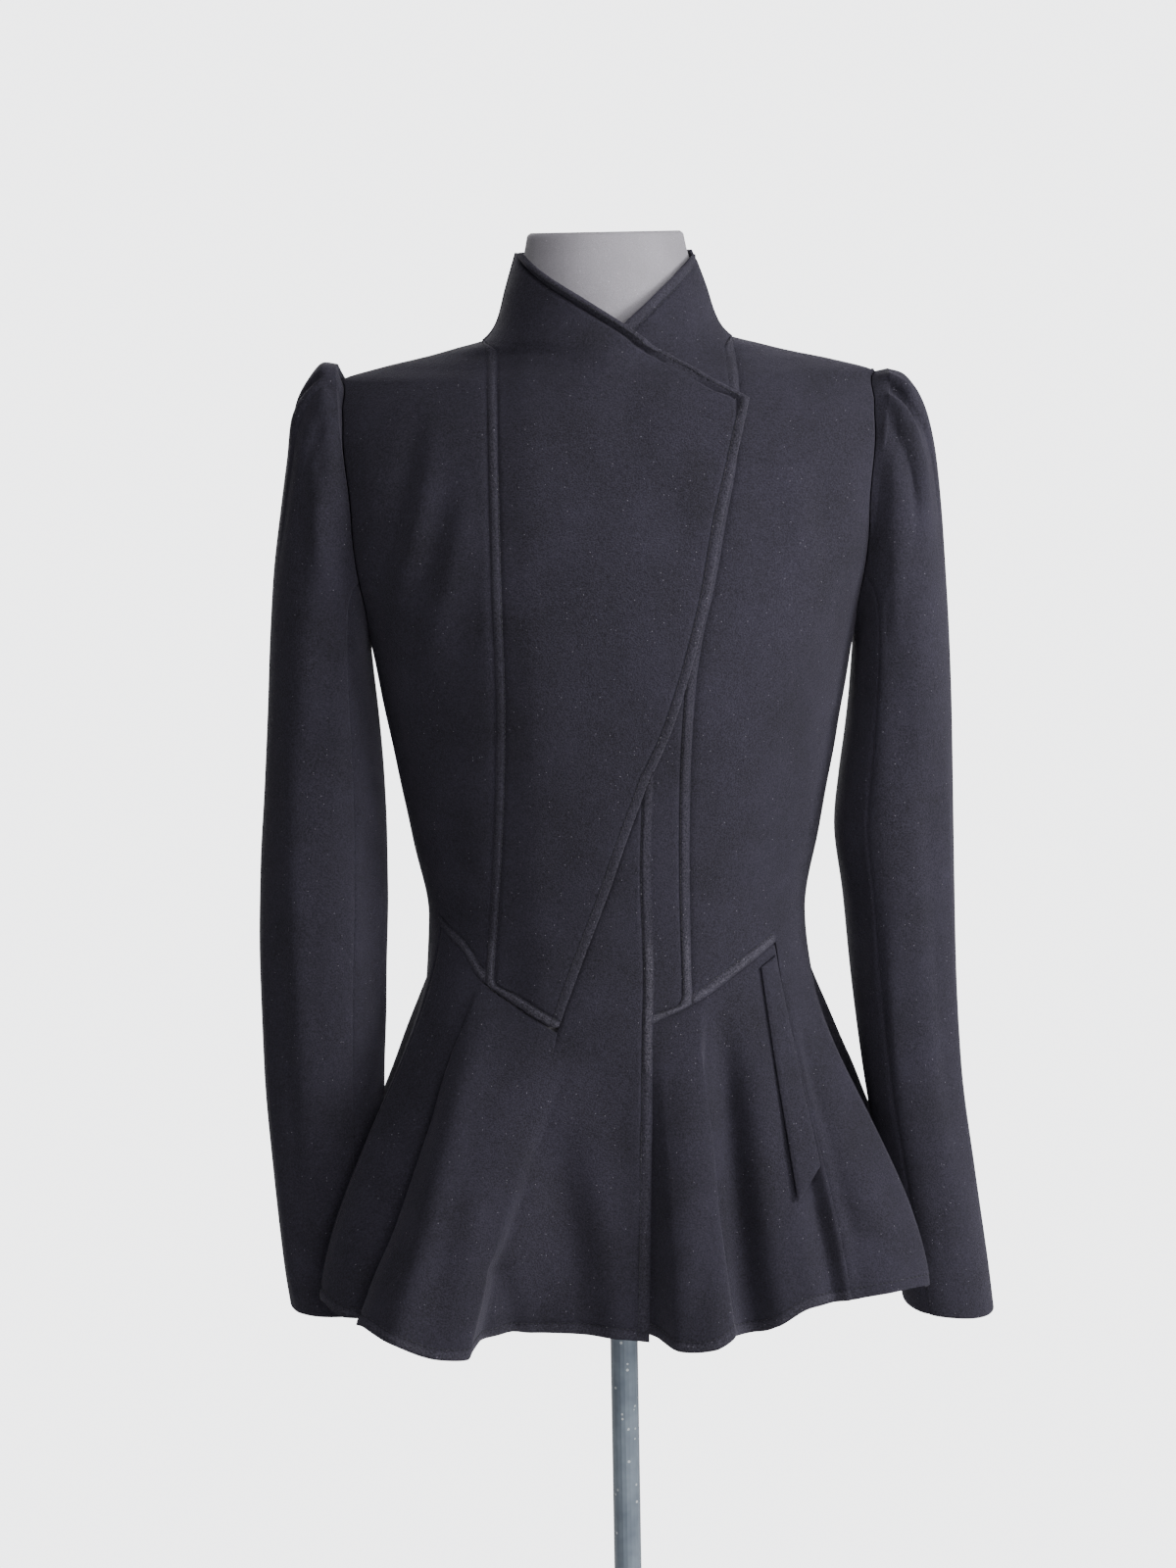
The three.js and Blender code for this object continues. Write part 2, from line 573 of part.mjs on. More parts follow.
function frontLeftWaist(across) {
  const x = lerp(FRONT_LEFT_SPAN.from, FRONT_LEFT_SPAN.to, across);
  const z = along(WAIST_LEFT, "x", "z", x) - SEAM;
  return bodiceVertex(z, angleAtX(z, x));
}

function skirtFrontLeft() {
  const shares = steps(FRONT_LEFT_COLUMNS);
  return clothWall([skirtPatch(shares.map(frontLeftWaist), shares, HEM_FRONT_LEFT, SKIRT_ROWS.front)]);
}

// The pocket's welt lies on the front skirt, along its seam with the side,
// and ends in a slant.
const WELT = { from: 0.03, toInner: 0.7, toOuter: 0.62, inner: 0.9, outer: 0.985, proud: 2.5 };

function pocketWelt() {
  const surface = (across, down) => skirtPoint(frontLeftWaist(across).at, HEM_FRONT_LEFT, across, down);
  const rows = steps(6).map((share) => {
    return steps(2).map((column) => {
      const down = lerp(WELT.from, lerp(WELT.toInner, WELT.toOuter, column), share);
      const across = lerp(WELT.inner, WELT.outer, column);
      const aside = surface(across + 0.01, down).sub(surface(across - 0.01, down));
      const below = surface(across, down + 0.01).sub(surface(across, down - 0.01));
      const out = below.cross(aside).normalize();
      return { at: surface(across, down).addScaledVector(out, WELT.proud), out };
    });
  });
  return clothWall([rows]);
}

// ---------- sleeves ----------
// A ring's point at an angle from its outer point round by the front to its inner point.
function sleevePoint(ring, turn) {
  const [c, s] = [Math.cos(radians(turn)), Math.sin(radians(turn))];
  const across = 0.5 + 0.5 * Math.sign(c) * Math.abs(c) ** 0.86;
  const depth = Math.sign(s) * Math.abs(s) ** 0.86;
  return new THREE.Vector3(
    lerp(ring.inX, ring.outX, across),
    ring.midY - depth * (s > 0 ? ring.front : ring.back),
    lerp(ring.inZ, ring.outZ, across),
  );
}

function middle(ring) {
  return new THREE.Vector3((ring.inX + ring.outX) / 2, ring.midY, (ring.inZ + ring.outZ) / 2);
}

// The pleats fade out from the armhole down to the widest part of the upper arm.
function pleatedCap(point, ring, turn, fade) {
  let raise = 0;
  for (const pleat of CAP_PLEATS) {
    const away = (turn - pleat.angle) / pleat.slope;
    raise += away > 0 ? pleat.raise * Math.exp(-away * 0.5) * Math.min(1, away) : 0;
  }
  return point.addScaledVector(point.clone().sub(middle(ring)).normalize(), raise * fade);
}

// Keeps a sleeve's point off the bodice beside it.
function besideBodice(point, clear) {
  if (point.z > ARMHOLE.middle + ARMHOLE.rise) return point;
  const { half, front, back, round } = section(point.z);
  const share = Math.abs(point.y) / (point.y < 0 ? front : back);
  if (share < 1) point.x = Math.max(point.x, half * (1 - share ** round) ** (1 / round) + clear);
  return point;
}

function armholeRing(turn) {
  const z = ARMHOLE.middle + ARMHOLE.rise * Math.cos(radians(turn));
  const s = Math.sin(radians(turn));
  const angle = angleAtY(z, s > 0 ? -s * ARMHOLE.front : -s * ARMHOLE.back);
  return onBodice(z, angle).add(new THREE.Vector3(2 * SEAM, 0, 0));
}

function sleevePiece(rings, wearersLeft, upper) {
  const { front, back } = SLEEVE_SEAMS;
  const [from, to] = upper ? [front, back] : [360 + back, front];
  const slack = THREE.MathUtils.radToDeg(SEAM / 2 / SLEEVE_RADIUS);
  const count = Math.round(Math.abs(to - from) / ARMHOLE.step);
  const turns = steps(count).map((share) => lerp(from - slack, to + slack, share));
  const onSeam = (turn) => turn === turns[0] || turn === turns.at(-1);
  const rows = [turns.map((turn) => ({ at: armholeRing(turn) }))];
  rings.forEach((ring, k) => {
    const fade = Math.max(0, 1 - Math.abs(k - PLEAT_FADE.ring) / PLEAT_FADE.rings);
    const clear = k < 1 ? CLEAR_OF_BODICE.atArmhole : CLEAR_OF_BODICE.below;
    rows.push(turns.map((turn) => {
      const fromTop = THREE.MathUtils.euclideanModulo(turn + 180, 360) - 180;
      const at = besideBodice(pleatedCap(sleevePoint(ring, turn), ring, fromTop, fade), clear);
      return { at, out: onSeam(turn) ? at.clone().sub(middle(ring)).normalize() : null };
    }));
  });
  return clothWall([wearersLeft ? rows : mirrorPatch(rows)]);
}

// ---------- dress form, pole and base ----------
// One closed loft: neck, bust, waist and hips, with the arm ends cut flat.
function dressForm() {
  const oval = ({ z, half, front, back }, angle) => {
    const [s, c] = [Math.sin(radians(angle)), Math.cos(radians(angle))];
    return new THREE.Vector3(half * s, -c * (c > 0 ? front : back), z);
  };
  const angles = steps(FORM_COLUMNS).slice(0, -1).map((share) => 360 * share);
  const bodiceRows = FORM_HEIGHTS.map((z) => angles.map((angle) => {
    const inset = lerp(FORM_INSET.body, FORM_INSET.shoulder, smoothstep(z, ...FORM_INSET.blend));
    const p = onBodice(z, angle).addScaledVector(outOfBodice(z, angle), -inset);
    p.x = THREE.MathUtils.clamp(p.x, -FORM_ARM_PLATE, FORM_ARM_PLATE);
    return p;
  }));
  const neckRows = [...FORM_NECK].reverse().map((row) => angles.map((angle) => oval(row, angle)));
  const hipRows = FORM_HIPS.map((row) => angles.map((angle) => oval(row, angle)));
  const rows = [...neckRows, ...bodiceRows, ...hipRows];
  const ends = [new THREE.Vector3(0, 3, NECK_TOP + 0.01), new THREE.Vector3(0, 0, FORM_BOTTOM)];
  const points = [...rows.flat(), ...ends];
  const [top, foot] = [points.length - 2, points.length - 1];
  const at = (i, j) => i * FORM_COLUMNS + (j % FORM_COLUMNS);
  const index = [];
  for (let j = 0; j < FORM_COLUMNS; j++) {
    index.push(top, at(0, j), at(0, j + 1), foot, at(rows.length - 1, j + 1), at(rows.length - 1, j));
    for (let i = 0; i + 1 < rows.length; i++) {
      const [a, b, c, d] = [at(i, j), at(i, j + 1), at(i + 1, j + 1), at(i + 1, j)];
      index.push(a, d, b, b, d, c);
    }
  }
  return new THREE.BufferGeometry().setFromPoints(points).setIndex(index);
}

function turned(profile, segments = 40) {
  const outline = profile.map(([radius, z]) => new THREE.Vector2(radius, z));
  return new THREE.LatheGeometry(outline, segments).rotateX(Math.PI / 2);
}

function base() {
  const { radius, edge, top, hubRadius, hubTop } = BASE;
  const bore = POLE_RADIUS + SEAM;
  return turned([
    [0, 0], [radius, 0], [radius, edge], [radius - 8, top], [hubRadius + 6, top + 3], [hubRadius, hubTop - 4],
    [hubRadius - 3, hubTop], [bore, hubTop], [bore, top - 2], [0, top - 2],
  ]);
}

function pole() {
  const [foot, head] = [BASE.top - 2 + SEAM, FORM_BOTTOM - SEAM];
  return turned([[0, foot], [POLE_RADIUS, foot], [POLE_RADIUS, head], [0, head]], 20);
}

// ---------- the part ----------
const material = (color, roughness, metalness = 0) =>
  new THREE.MeshStandardMaterial({ color, roughness, metalness });
const wool = () => material(COLOUR.wool, 0.92);

const peplumCoat = new THREE.Group();
function add(name, geometry, finish = wool()) {
  const mesh = new THREE.Mesh(geometry, finish);
  mesh.name = name;
  peplumCoat.add(mesh);
}

add("base", base(), material(COLOUR.base, 0.5, 0.6));
add("pole", pole(), material(COLOUR.pole, 0.45, 0.5));
add("dress_form", dressForm(), material(COLOUR.jersey, 0.9));
add("front_centre_right", frontCentreRight());
add("front_centre_left", frontCentreLeft());
add("skirt_front_right", skirtFrontRight());
add("skirt_front_left", skirtFrontLeft());
add("pocket_welt_left", pocketWelt());
add("collar_back", collarBack());
for (const [name, wearersLeft, rings] of [["right", false, SLEEVE_RIGHT], ["left", true, SLEEVE_LEFT]]) {
  add(`front_side_${name}`, frontSide(wearersLeft));
  add(`back_side_${name}`, backPiece(wearersLeft, false));
  add(`back_centre_${name}`, backPiece(wearersLeft, true));
  add(`sleeve_upper_${name}`, sleevePiece(rings, wearersLeft, true));
  add(`sleeve_under_${name}`, sleevePiece(rings, wearersLeft, false));
}

// The origin is the middle of the part's box, on the floor.
const box = new THREE.Box3().setFromObject(peplumCoat);
peplumCoat.position.set(-(box.min.x + box.max.x) / 2, -(box.min.y + box.max.y) / 2, -box.min.z);

export default peplumCoat;
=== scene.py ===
"""A wool peplum coat on a limbless dress form: cloth, topstitching, finishes, light and camera.

Sizes are in millimetres in the garment's own axes (+X the wearer's left, -Y its front, +Z up, the
pole at the middle) until a mesh is written, which is in metres and shifted onto the frame's pole.
"""

import logging
import math
from collections.abc import Callable, Sequence
from dataclasses import dataclass, field
from enum import Enum

import bpy
import numpy as np
from mathutils import Matrix, Vector


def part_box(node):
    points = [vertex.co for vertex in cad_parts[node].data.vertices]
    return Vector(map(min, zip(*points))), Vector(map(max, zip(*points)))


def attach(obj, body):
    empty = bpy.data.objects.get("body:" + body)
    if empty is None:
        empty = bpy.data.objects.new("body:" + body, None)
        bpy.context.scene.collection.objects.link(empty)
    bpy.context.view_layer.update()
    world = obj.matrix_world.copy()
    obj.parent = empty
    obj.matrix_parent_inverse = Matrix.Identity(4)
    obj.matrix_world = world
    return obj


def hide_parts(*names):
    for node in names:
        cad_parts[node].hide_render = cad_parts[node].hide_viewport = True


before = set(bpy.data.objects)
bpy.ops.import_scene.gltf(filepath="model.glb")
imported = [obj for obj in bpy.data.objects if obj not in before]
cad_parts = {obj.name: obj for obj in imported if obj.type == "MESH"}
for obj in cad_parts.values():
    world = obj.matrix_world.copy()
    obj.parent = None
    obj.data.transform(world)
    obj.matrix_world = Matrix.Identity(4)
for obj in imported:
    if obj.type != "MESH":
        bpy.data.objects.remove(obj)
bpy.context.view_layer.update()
LOG = logging.getLogger("peplum_coat")

CLOTH = 2.0  # thickness of the milled wool
EDGE_ROUND, SHARP = 0.55, 55  # how far its cut edges are rounded, and past which angle in degrees
SEAM = 0.1  # space between two sewn edges
# How far the overlapping front stands off the one beneath, the x where that begins, and over what width.
LAP, LAP_FROM, LAP_RUN = 3.2, -78.0, 28.0
SHOULDER_NECK = 1406.5  # height at which the shoulder meets the collar
SIDE_WAIST = 1000.0  # height at which the sides and back begin to flare
ARM_MIDDLE, ARM_RISE, ARM_FRONT, ARM_BACK = 1290.5, 90.5, 52.0, 60.0  # the armhole's oval
COLLAR_TOP_RIGHT, COLLAR_TOP_LEFT, COLLAR_TOP_BACK = 1466.0, 1463.0, 1467.0
LAPEL_CORNER, WEDGE_TOP = 1366.0, 1120.0
WEDGE_TIP = 0.75  # width of the wedge at its top
WEDGE_WIDTHS = (4.0, 66.0)  # of the wedge near its top and at its foot
LEAN_FROM = 1045.0  # height from which the side front's rows lean over to the slanted waist seam
SIDE_LOW = 960.0  # a height near the foot of the side front's princess seam
SEAM_COLUMNS, SIDE_COLUMNS = 29, 48  # of a side front: over the slanted waist seam, and beyond it
MM = 0.001

Array = np.ndarray
Edge = Callable[[Array], Array]  # an edge of a piece, as an angle for each height


class Side(Enum):
    """The wearer's side: its value is the sign of X there."""

    RIGHT = -1
    LEFT = 1

    @property
    def word(self) -> str:
        """The side's name in lower case."""
        return self.name.lower()


# ------------------------------------------------------------------ tables and curves
class Table:
    """Rows of numbers under named columns, read through a smooth curve."""

    def __init__(self, columns: str, rows: Sequence[Sequence[float]]) -> None:
        """Keeps the rows as one array for each column."""
        self.columns = dict(zip(columns.split(), np.array(rows, float).T))

    def at(self, value: str, where: Array, key: str = "z") -> Array:
        """Reads a column along another by a monotone cubic, which never swings past its rows.

        The tangent at a row is the harmonic mean of the slopes on its two sides, or zero where they
        point opposite ways, and beyond the ends the end values hold.

        Args:
            value: the column to read.
            where: places along the key column.
            key: the column that orders the rows.

        Returns:
            The values, in the shape of where.
        """
        order = np.argsort(self.columns[key])
        keys, values = self.columns[key][order], self.columns[value][order]
        where = np.asarray(where, float)
        span = np.diff(keys)
        slope = np.diff(values) / span
        before, after = slope[:-1], slope[1:]
        total = np.where(before * after > 0, before + after, 1.0)
        inner = np.where(before * after > 0, 2 * before * after / total, 0.0)
        tangent = np.concatenate([slope[:1], inner, slope[-1:]])
        i = np.clip(np.searchsorted(keys, where, side="right") - 1, 0, len(keys) - 2)
        t = np.clip((where - keys[i]) / span[i], 0.0, 1.0)
        t2, t3 = t * t, t * t * t
        return (
            (2 * t3 - 3 * t2 + 1) * values[i] + (t3 - 2 * t2 + t) * span[i] * tangent[i]
            + (3 * t2 - 2 * t3) * values[i + 1] + (t3 - t2) * span[i] * tangent[i + 1]
        )


SECTIONS = Table("z half front back round", [
    (1470, 59, 54, 64, 2.0), (1443, 69, 63, 70, 2.0), (1419, 77, 69, 75, 2.0),
    (1406.5, 88, 73, 78, 1.95), (1403.5, 100, 74, 79, 1.7), (1397, 125, 77, 80, 1.4),
    (1390, 157, 80, 82, 1.35), (1381, 187, 84, 85, 1.5), (1360, 201, 91, 89, 1.85),
    (1335, 204, 99, 93, 2.05), (1290, 197, 112, 98, 2.15), (1250, 185, 123, 98, 2.25),
    (1215, 173, 127, 94, 2.25), (1157, 162, 119, 87, 2.2), (1113, 154, 109, 81, 2.15),
    (1058, 144, 98, 77, 2.1), (1003, 134, 92, 79, 2.1), (972, 138, 94, 85, 2.1),
    (930, 149, 100, 95, 2.1),
])
PRINCESS = {
    Side.RIGHT: Table("z x", [
        (1406.5, -87), (1396, -83), (1324, -82.5), (1245, -81.7), (1178, -80.5), (1111, -82.7), (1043, -87),
        (966, -93.5),
    ]),
    Side.LEFT: Table("z x", [
        (1406.5, 87), (1375, 89), (1330, 86), (1290, 78), (1242, 68), (1215, 61), (1176, 55), (1109, 51),
        (1041, 50), (950, 51),
    ]),
}
LAP_EDGE = Table("z x", [
    (1470, -60), (1451, -39), (1434, -13), (1418.7, 9.7), (1392.7, 45.3), (1378, 71.4), (1366, 94),
])
LAPEL_EDGE = Table("z x", [
    (1366, 94), (1327, 84), (1287, 73.6), (1241, 64.4), (1188, 50.4), (1151, 38.6), (1120, 25.5),
])
DIAGONAL_SEAM = Table("z x", [(1120, 24.5), (1071.6, 7), (1031, -7), (994, -21), (936, -43)])
UNDER_EDGE = Table("z x", [
    (1466, 63), (1457, 53.7), (1432.7, 26.9), (1418, 10), (1374, -40), (1200, -40), (1000, -22), (915, -16),
])
CLOSING_EDGE = Table("z x", [(1120, 26), (1046, 23), (978, 24), (936, 22.5)])
WAIST = {
    Side.RIGHT: Table("x z", [(-125, 1000), (-108.4, 986), (-96, 968.5), (-68.8, 951), (-42, 936)]),
    Side.LEFT: Table("x z", [(-16, 922), (25.3, 942), (55.7, 955.3), (82.8, 971.9), (110, 989)]),
}
POCKET_X = {Side.RIGHT: -125.0, Side.LEFT: 110.0}
PLEAT_X = -95.0  # where the front flute folds, on the waist seam of the wearer's right
BACK_PRINCESS = Table("z x", [(1406.5, 86), (1380, 84), (1290, 84), (1200, 76), (1113, 64), (1000, 54)])

HEM_COLUMNS = "across x y z ease"
HEM_FRONT = {
    # The right front starts beside the pocket seam, dips to the foot of its knife pleat and comes
    # forward round the flute.
    Side.RIGHT: Table(HEM_COLUMNS, [
        (0.0, -213.7, -88.3, 748, 0.7), (0.05, -210, -98, 748, 0.6), (0.113, -193, -116, 742, 0.4),
        (0.178, -160, -125, 742, 0.1), (0.202, -184, -138, 744, 0.0), (0.283, -178, -160, 749, 0.0),
        (0.381, -157, -176, 741, 0.1), (0.469, -130, -180, 732, 0.2), (0.54, -108, -172, 729, 0.3),
        (0.575, -105, -152, 729, 0.4), (0.628, -98, -131, 730, 0.4), (0.717, -66, -127, 732, 0.3),
        (0.859, -24, -140, 733, 0.2), (0.947, 0, -149, 733, 0.1), (1.0, 16, -152, 732, 0.0),
    ]),
    Side.LEFT: Table(HEM_COLUMNS, [
        (0.0, -18, -133, 737, 0.0), (0.16, 3, -135, 736, 0.0), (0.27, 20, -146, 734, 0.2),
        (0.36, 37, -174, 732, 0.2), (0.46, 60, -181, 735, 0.1), (0.53, 76, -170, 742, 0.0),
        (0.58, 77, -148, 738, -0.3), (0.63, 78, -126, 727, -0.4), (0.7, 90, -116, 725, -0.2),
        (0.8, 107, -118, 731, 0.0), (0.9, 130, -120, 744, 0.2), (1.0, 158, -114, 747, 0.3),
    ]),
}
HEM_SIDE = {
    Side.RIGHT: Table(HEM_COLUMNS, [
        (0.0, -160, 4, 744, 0.7), (0.3, -165, -40, 742, 0.8), (0.55, -188, -60, 744, 0.9),
        (0.78, -209, -73, 748, 0.8), (1.0, -214, -88, 748, 0.7),
    ]),
    Side.LEFT: Table(HEM_COLUMNS, [
        (0.0, 158.3, -113.8, 747, 0.3), (0.2, 178, -108, 749, 0.5), (0.38, 197, -99.5, 750, 0.7),
        (0.5, 214, -84, 748, 0.8), (0.6, 213, -70, 742, 0.9), (0.76, 192, -52, 740, 0.9),
        (1.0, 183, 4, 742, 0.8),
    ]),
}
# How far the hem of the right front is tucked in beside its flute, a fold that dies out just above.
HEM_TUCK = Table("across depth", [
    (0.0, 0), (0.469, 0), (0.54, 4), (0.575, 18), (0.628, 24), (0.717, 14), (0.859, 3), (0.947, 0), (1.0, 0),
])
# How far the left front slides under the edge of its flute halfway down, which folds it over.
HEM_SLIDE = Table("across shift", [
    (0.0, 0), (0.46, 0), (0.53, 1), (0.58, -7), (0.63, -12), (0.68, -10), (0.75, -3), (0.82, 0), (1.0, 0),
])
# The hems of the back are given on the wearer's left, and mirrored for the right.
HEM_BACK_SIDE = {
    Side.RIGHT: Table(HEM_COLUMNS, [
        (0.0, 160, 5, 744, 0.7), (0.25, 165, 50, 743, 0.5), (0.4, 208, 84, 741, 0.1),
        (0.54, 228, 106, 740, -0.3), (0.68, 202, 120, 740, -0.1), (0.81, 168, 119, 741, 0.3),
        (1.0, 132, 136, 742, 0.4),
    ]),
    Side.LEFT: Table(HEM_COLUMNS, [
        (0.0, 174, 5, 743, 0.8), (0.22, 190, 48, 742, 0.5), (0.38, 226, 78, 741, 0.1),
        (0.52, 232, 102, 740, -0.1), (0.66, 205, 118, 740, 0.1), (0.8, 168, 118, 741, 0.4),
        (1.0, 132, 136, 742, 0.4),
    ]),
}
HEM_BACK_CENTRE = Table(HEM_COLUMNS, [
    (0.0, 132, 136, 742, 0.4), (0.22, 112, 170, 741, 0.2), (0.42, 76, 176, 740, 0.2),
    (0.58, 56, 154, 741, 0.4), (0.76, 36, 144, 742, 0.4), (1.0, 0, 166, 741, 0.2),
])
SLEEVE_COLUMNS = "ring outX outZ inX inZ front back midY"
SLEEVE_RINGS = {
    Side.RIGHT: Table(SLEEVE_COLUMNS, [
        (1, 188, 1393, 170.2, 1199, 56, 62, 2), (2, 197, 1394.5, 170.4, 1197, 60, 65, 2),
        (3, 208.5, 1383, 170.3, 1193, 63, 67, 2), (4, 218, 1364, 170, 1187, 65, 68, 2),
        (5, 224, 1330, 169.3, 1180, 66, 68, 2), (6, 230, 1292, 168.4, 1170, 66, 68, 2),
        (7, 236, 1250, 166.8, 1154, 65, 67, 2), (8, 240, 1204, 164.8, 1130, 64, 65, 1),
        (9, 243.5, 1150, 163, 1098, 61, 62, 0), (10, 247.5, 1096, 162.2, 1060, 59, 59, -1),
        (11, 252, 1040, 162.5, 1018, 57, 57, -3), (12, 254.6, 970, 165.5, 958, 55, 55, -4),
        (13, 254, 895, 168.5, 888, 52, 53, -5), (14, 249.5, 815, 171, 811, 49, 50, -6),
        (15, 243.5, 745, 172.5, 743, 47, 48, -8), (16, 240.5, 723, 173, 722, 46, 47, -9),
    ]),
    Side.LEFT: Table(SLEEVE_COLUMNS, [
        (1, 195, 1383, 170.2, 1199, 56, 62, 2), (2, 204, 1380.5, 170.4, 1197, 60, 65, 2),
        (3, 213, 1371.5, 170.3, 1193, 63, 67, 2), (4, 221, 1355, 170, 1187, 65, 68, 2),
        (5, 227, 1328, 169.3, 1180, 66, 68, 2), (6, 231, 1290, 168.4, 1170, 66, 68, 2),
        (7, 234, 1245, 166.8, 1152, 65, 67, 2), (8, 236.5, 1198, 163.5, 1126, 63, 65, 1),
        (9, 238.2, 1145, 159, 1096, 61, 62, 0), (10, 239, 1090, 155.5, 1060, 59, 59, -1),
        (11, 239.6, 1030, 161, 1012, 57, 57, -3), (12, 240.8, 962, 166.5, 952, 54, 55, -4),
        (13, 244.5, 888, 175, 882, 51, 53, -5), (14, 254, 812, 187, 808, 48, 50, -6),
        (15, 263.5, 742, 198, 738, 46, 48, -8), (16, 267.2, 710, 202, 716, 45, 47, -9),
    ]),
}
# Pleats of the sleeve caps: angle from the top towards the front, raise, and width of the slope.
CAP_PLEATS = ((28.0, -7.0, 4.0), (62.0, -3.0, 10.0), (-30.0, -4.0, 8.0))
SLEEVE_FRONT_SEAM, SLEEVE_BACK_SEAM = 120.0, -100.0  # as angles from the top towards the front
SLEEVE_RADIUS, SLEEVE_ROUND = 50.0, 0.86  # its mean radius, and the power that rounds its rings
SLEEVE_TURN_IN = 0.9  # how far its seams turn in
CAP_MIDDLE, CAP_REACH = 3, 4  # the ring at which the cap's pleats are deepest, and how far they reach
PLEAT_FALL = 16.0  # degrees past a pleat of the cap over which its height falls to a third
CLEAR_TOP, CLEAR = 0.9, 1.2  # how far the sleeve keeps off the bodice, near the armhole and below


def smooth(t: Array) -> Array:
    """Rises from 0 to 1 between t = 0 and t = 1 with level ends: 3 t squared less 2 t cubed."""
    t = np.clip(t, 0.0, 1.0)
    return t * t * (3 - 2 * t)


def unit(vectors: Array) -> Array:
    """Vectors at length 1 along the last axis."""
    length = np.linalg.norm(vectors, axis=-1, keepdims=True)
    return vectors / np.maximum(length, 1e-9)


def steps(*stretches: tuple[float, float, int]) -> Array:
    """Even steps over one stretch after another, each given as from, to and how many."""
    return np.concatenate([np.linspace(*stretch) for stretch in stretches])


# ------------------------------------------------------------------ the bodice's surface
class Bodice:
    """The fitted body of the coat as a stack of rounded sections."""

    @staticmethod
    def section(z: Array) -> tuple[Array, Array, Array, Array]:
        """Half width, depth to the front, depth to the back and roundness at each height."""
        return tuple(SECTIONS.at(name, z) for name in ("half", "front", "back", "round"))

    @classmethod
    def point(cls, z: Array, angle: Array) -> Array:
        """Outer points at heights and angles.

        Each section is a superellipse: x is the half width times the sine's power 2 / round, and y the
        depth times the cosine's, each keeping its sign. Angle 0 is the centre front, 90 the wearer's
        left and 180 the centre back.

        Args:
            z: the heights.
            angle: the angles, in degrees.

        Returns:
            The points, one for each pair that z and angle broadcast to.
        """
        z, angle = np.broadcast_arrays(np.asarray(z, float), np.radians(angle))
        half, front, back, power = cls.section(z)
        s, c = np.sin(angle), np.cos(angle)
        depth = np.where(c > 0, front, back)
        x = half * np.sign(s) * np.abs(s) ** (2 / power)
        y = -depth * np.sign(c) * np.abs(c) ** (2 / power)
        return np.stack([x, y, z], -1)

    @classmethod
    def angle_at_x(cls, z: Array, x: Array, behind: bool = False) -> Array:
        """The angle at which the front or the back of a section passes x.

        Args:
            z: the heights.
            x: where each section is passed.
            behind: whether it is passed at the back.

        Returns:
            The angles, in degrees.
        """
        half, _, _, power = cls.section(z)
        angle = np.degrees(np.arcsin(np.minimum(1.0, np.abs(x) / half) ** (power / 2)))
        return np.sign(x) * (180 - angle if behind else angle)

    @classmethod
    def angle_at_y(cls, z: Array, y: Array) -> Array:
        """The angle at which a section passes a depth y on the wearer's left.

        Args:
            z: the heights.
            y: where each section is passed.

        Returns:
            The angles, in degrees.
        """
        _, front, back, power = cls.section(z)
        share = np.minimum(1.0, np.abs(y) / np.where(y < 0, front, back))
        angle = np.degrees(np.arccos(share ** (power / 2)))
        return np.where(y < 0, angle, 180 - angle)


def armhole_depth(z: Array, reach: float) -> Array:
    """How far the armhole's oval lies in front of or behind the shoulder line at a height."""
    rise = np.clip((z - ARM_MIDDLE) / ARM_RISE, -1.0, 1.0)
    return reach * np.sqrt(1 - rise * rise)


def torso_heights(foot: float, count: int) -> Array:
    """Heights of a side or back piece: the shoulder, the armhole's oval by angle, and on to a foot.

    Args:
        foot: the lowest height.
        count: how many rows lie below the armhole.

    Returns:
        The heights, from the top down.
    """
    armhole = ARM_MIDDLE + ARM_RISE * np.cos(np.radians(np.linspace(0, 180, 64)))
    shoulder = steps((SHOULDER_NECK - SEAM, ARM_MIDDLE + ARM_RISE + 1, 14))
    return np.concatenate([shoulder, armhole, steps((ARM_MIDDLE - ARM_RISE - 2, foot, count))])


# ------------------------------------------------------------------ creases
@dataclass(frozen=True)
class Crease:
    """A soft trough or ridge between two places of a piece's front or back view.

    Its cross section is a bell curve, it fades towards both ends, and it bows to one side like a
    shallow arc. Depth is negative for a trough. All sizes are in millimetres.
    """

    start: tuple[float, float]
    end: tuple[float, float]
    depth: float
    width: float
    bow: float = 0.0
    to_hem: bool = False  # whether it keeps its depth down to the hem

    def push(self, across: Array, height: Array) -> Array:
        """How far each point moves out: depth times the bell across times the fade along.

        Args:
            across: each point's x.
            height: each point's z.

        Returns:
            How far out each point moves, in millimetres.
        """
        a, b = np.array(self.start, float), np.array(self.end, float)
        length = float(np.hypot(*(b - a)))
        direction = (b - a) / length
        dx, dz = across - a[0], height - a[1]
        run = (dx * direction[0] + dz * direction[1]) / length
        side = dx * -direction[1] + dz * direction[0] - self.bow * 4 * run * (1 - run)
        fade = smooth(run / 0.35)
        if not self.to_hem:
            fade = fade * smooth((1 - run) / 0.35)
        return self.depth * np.exp(-((side / self.width) ** 2)) * fade


def creases(rows: Sequence[tuple[float, ...]], to_hem: bool = False) -> tuple[Crease, ...]:
    """Creases from rows of: from x and z, to x and z, depth, width and bow."""
    return tuple(Crease(row[:2], row[2:4], *row[4:], to_hem) for row in rows)


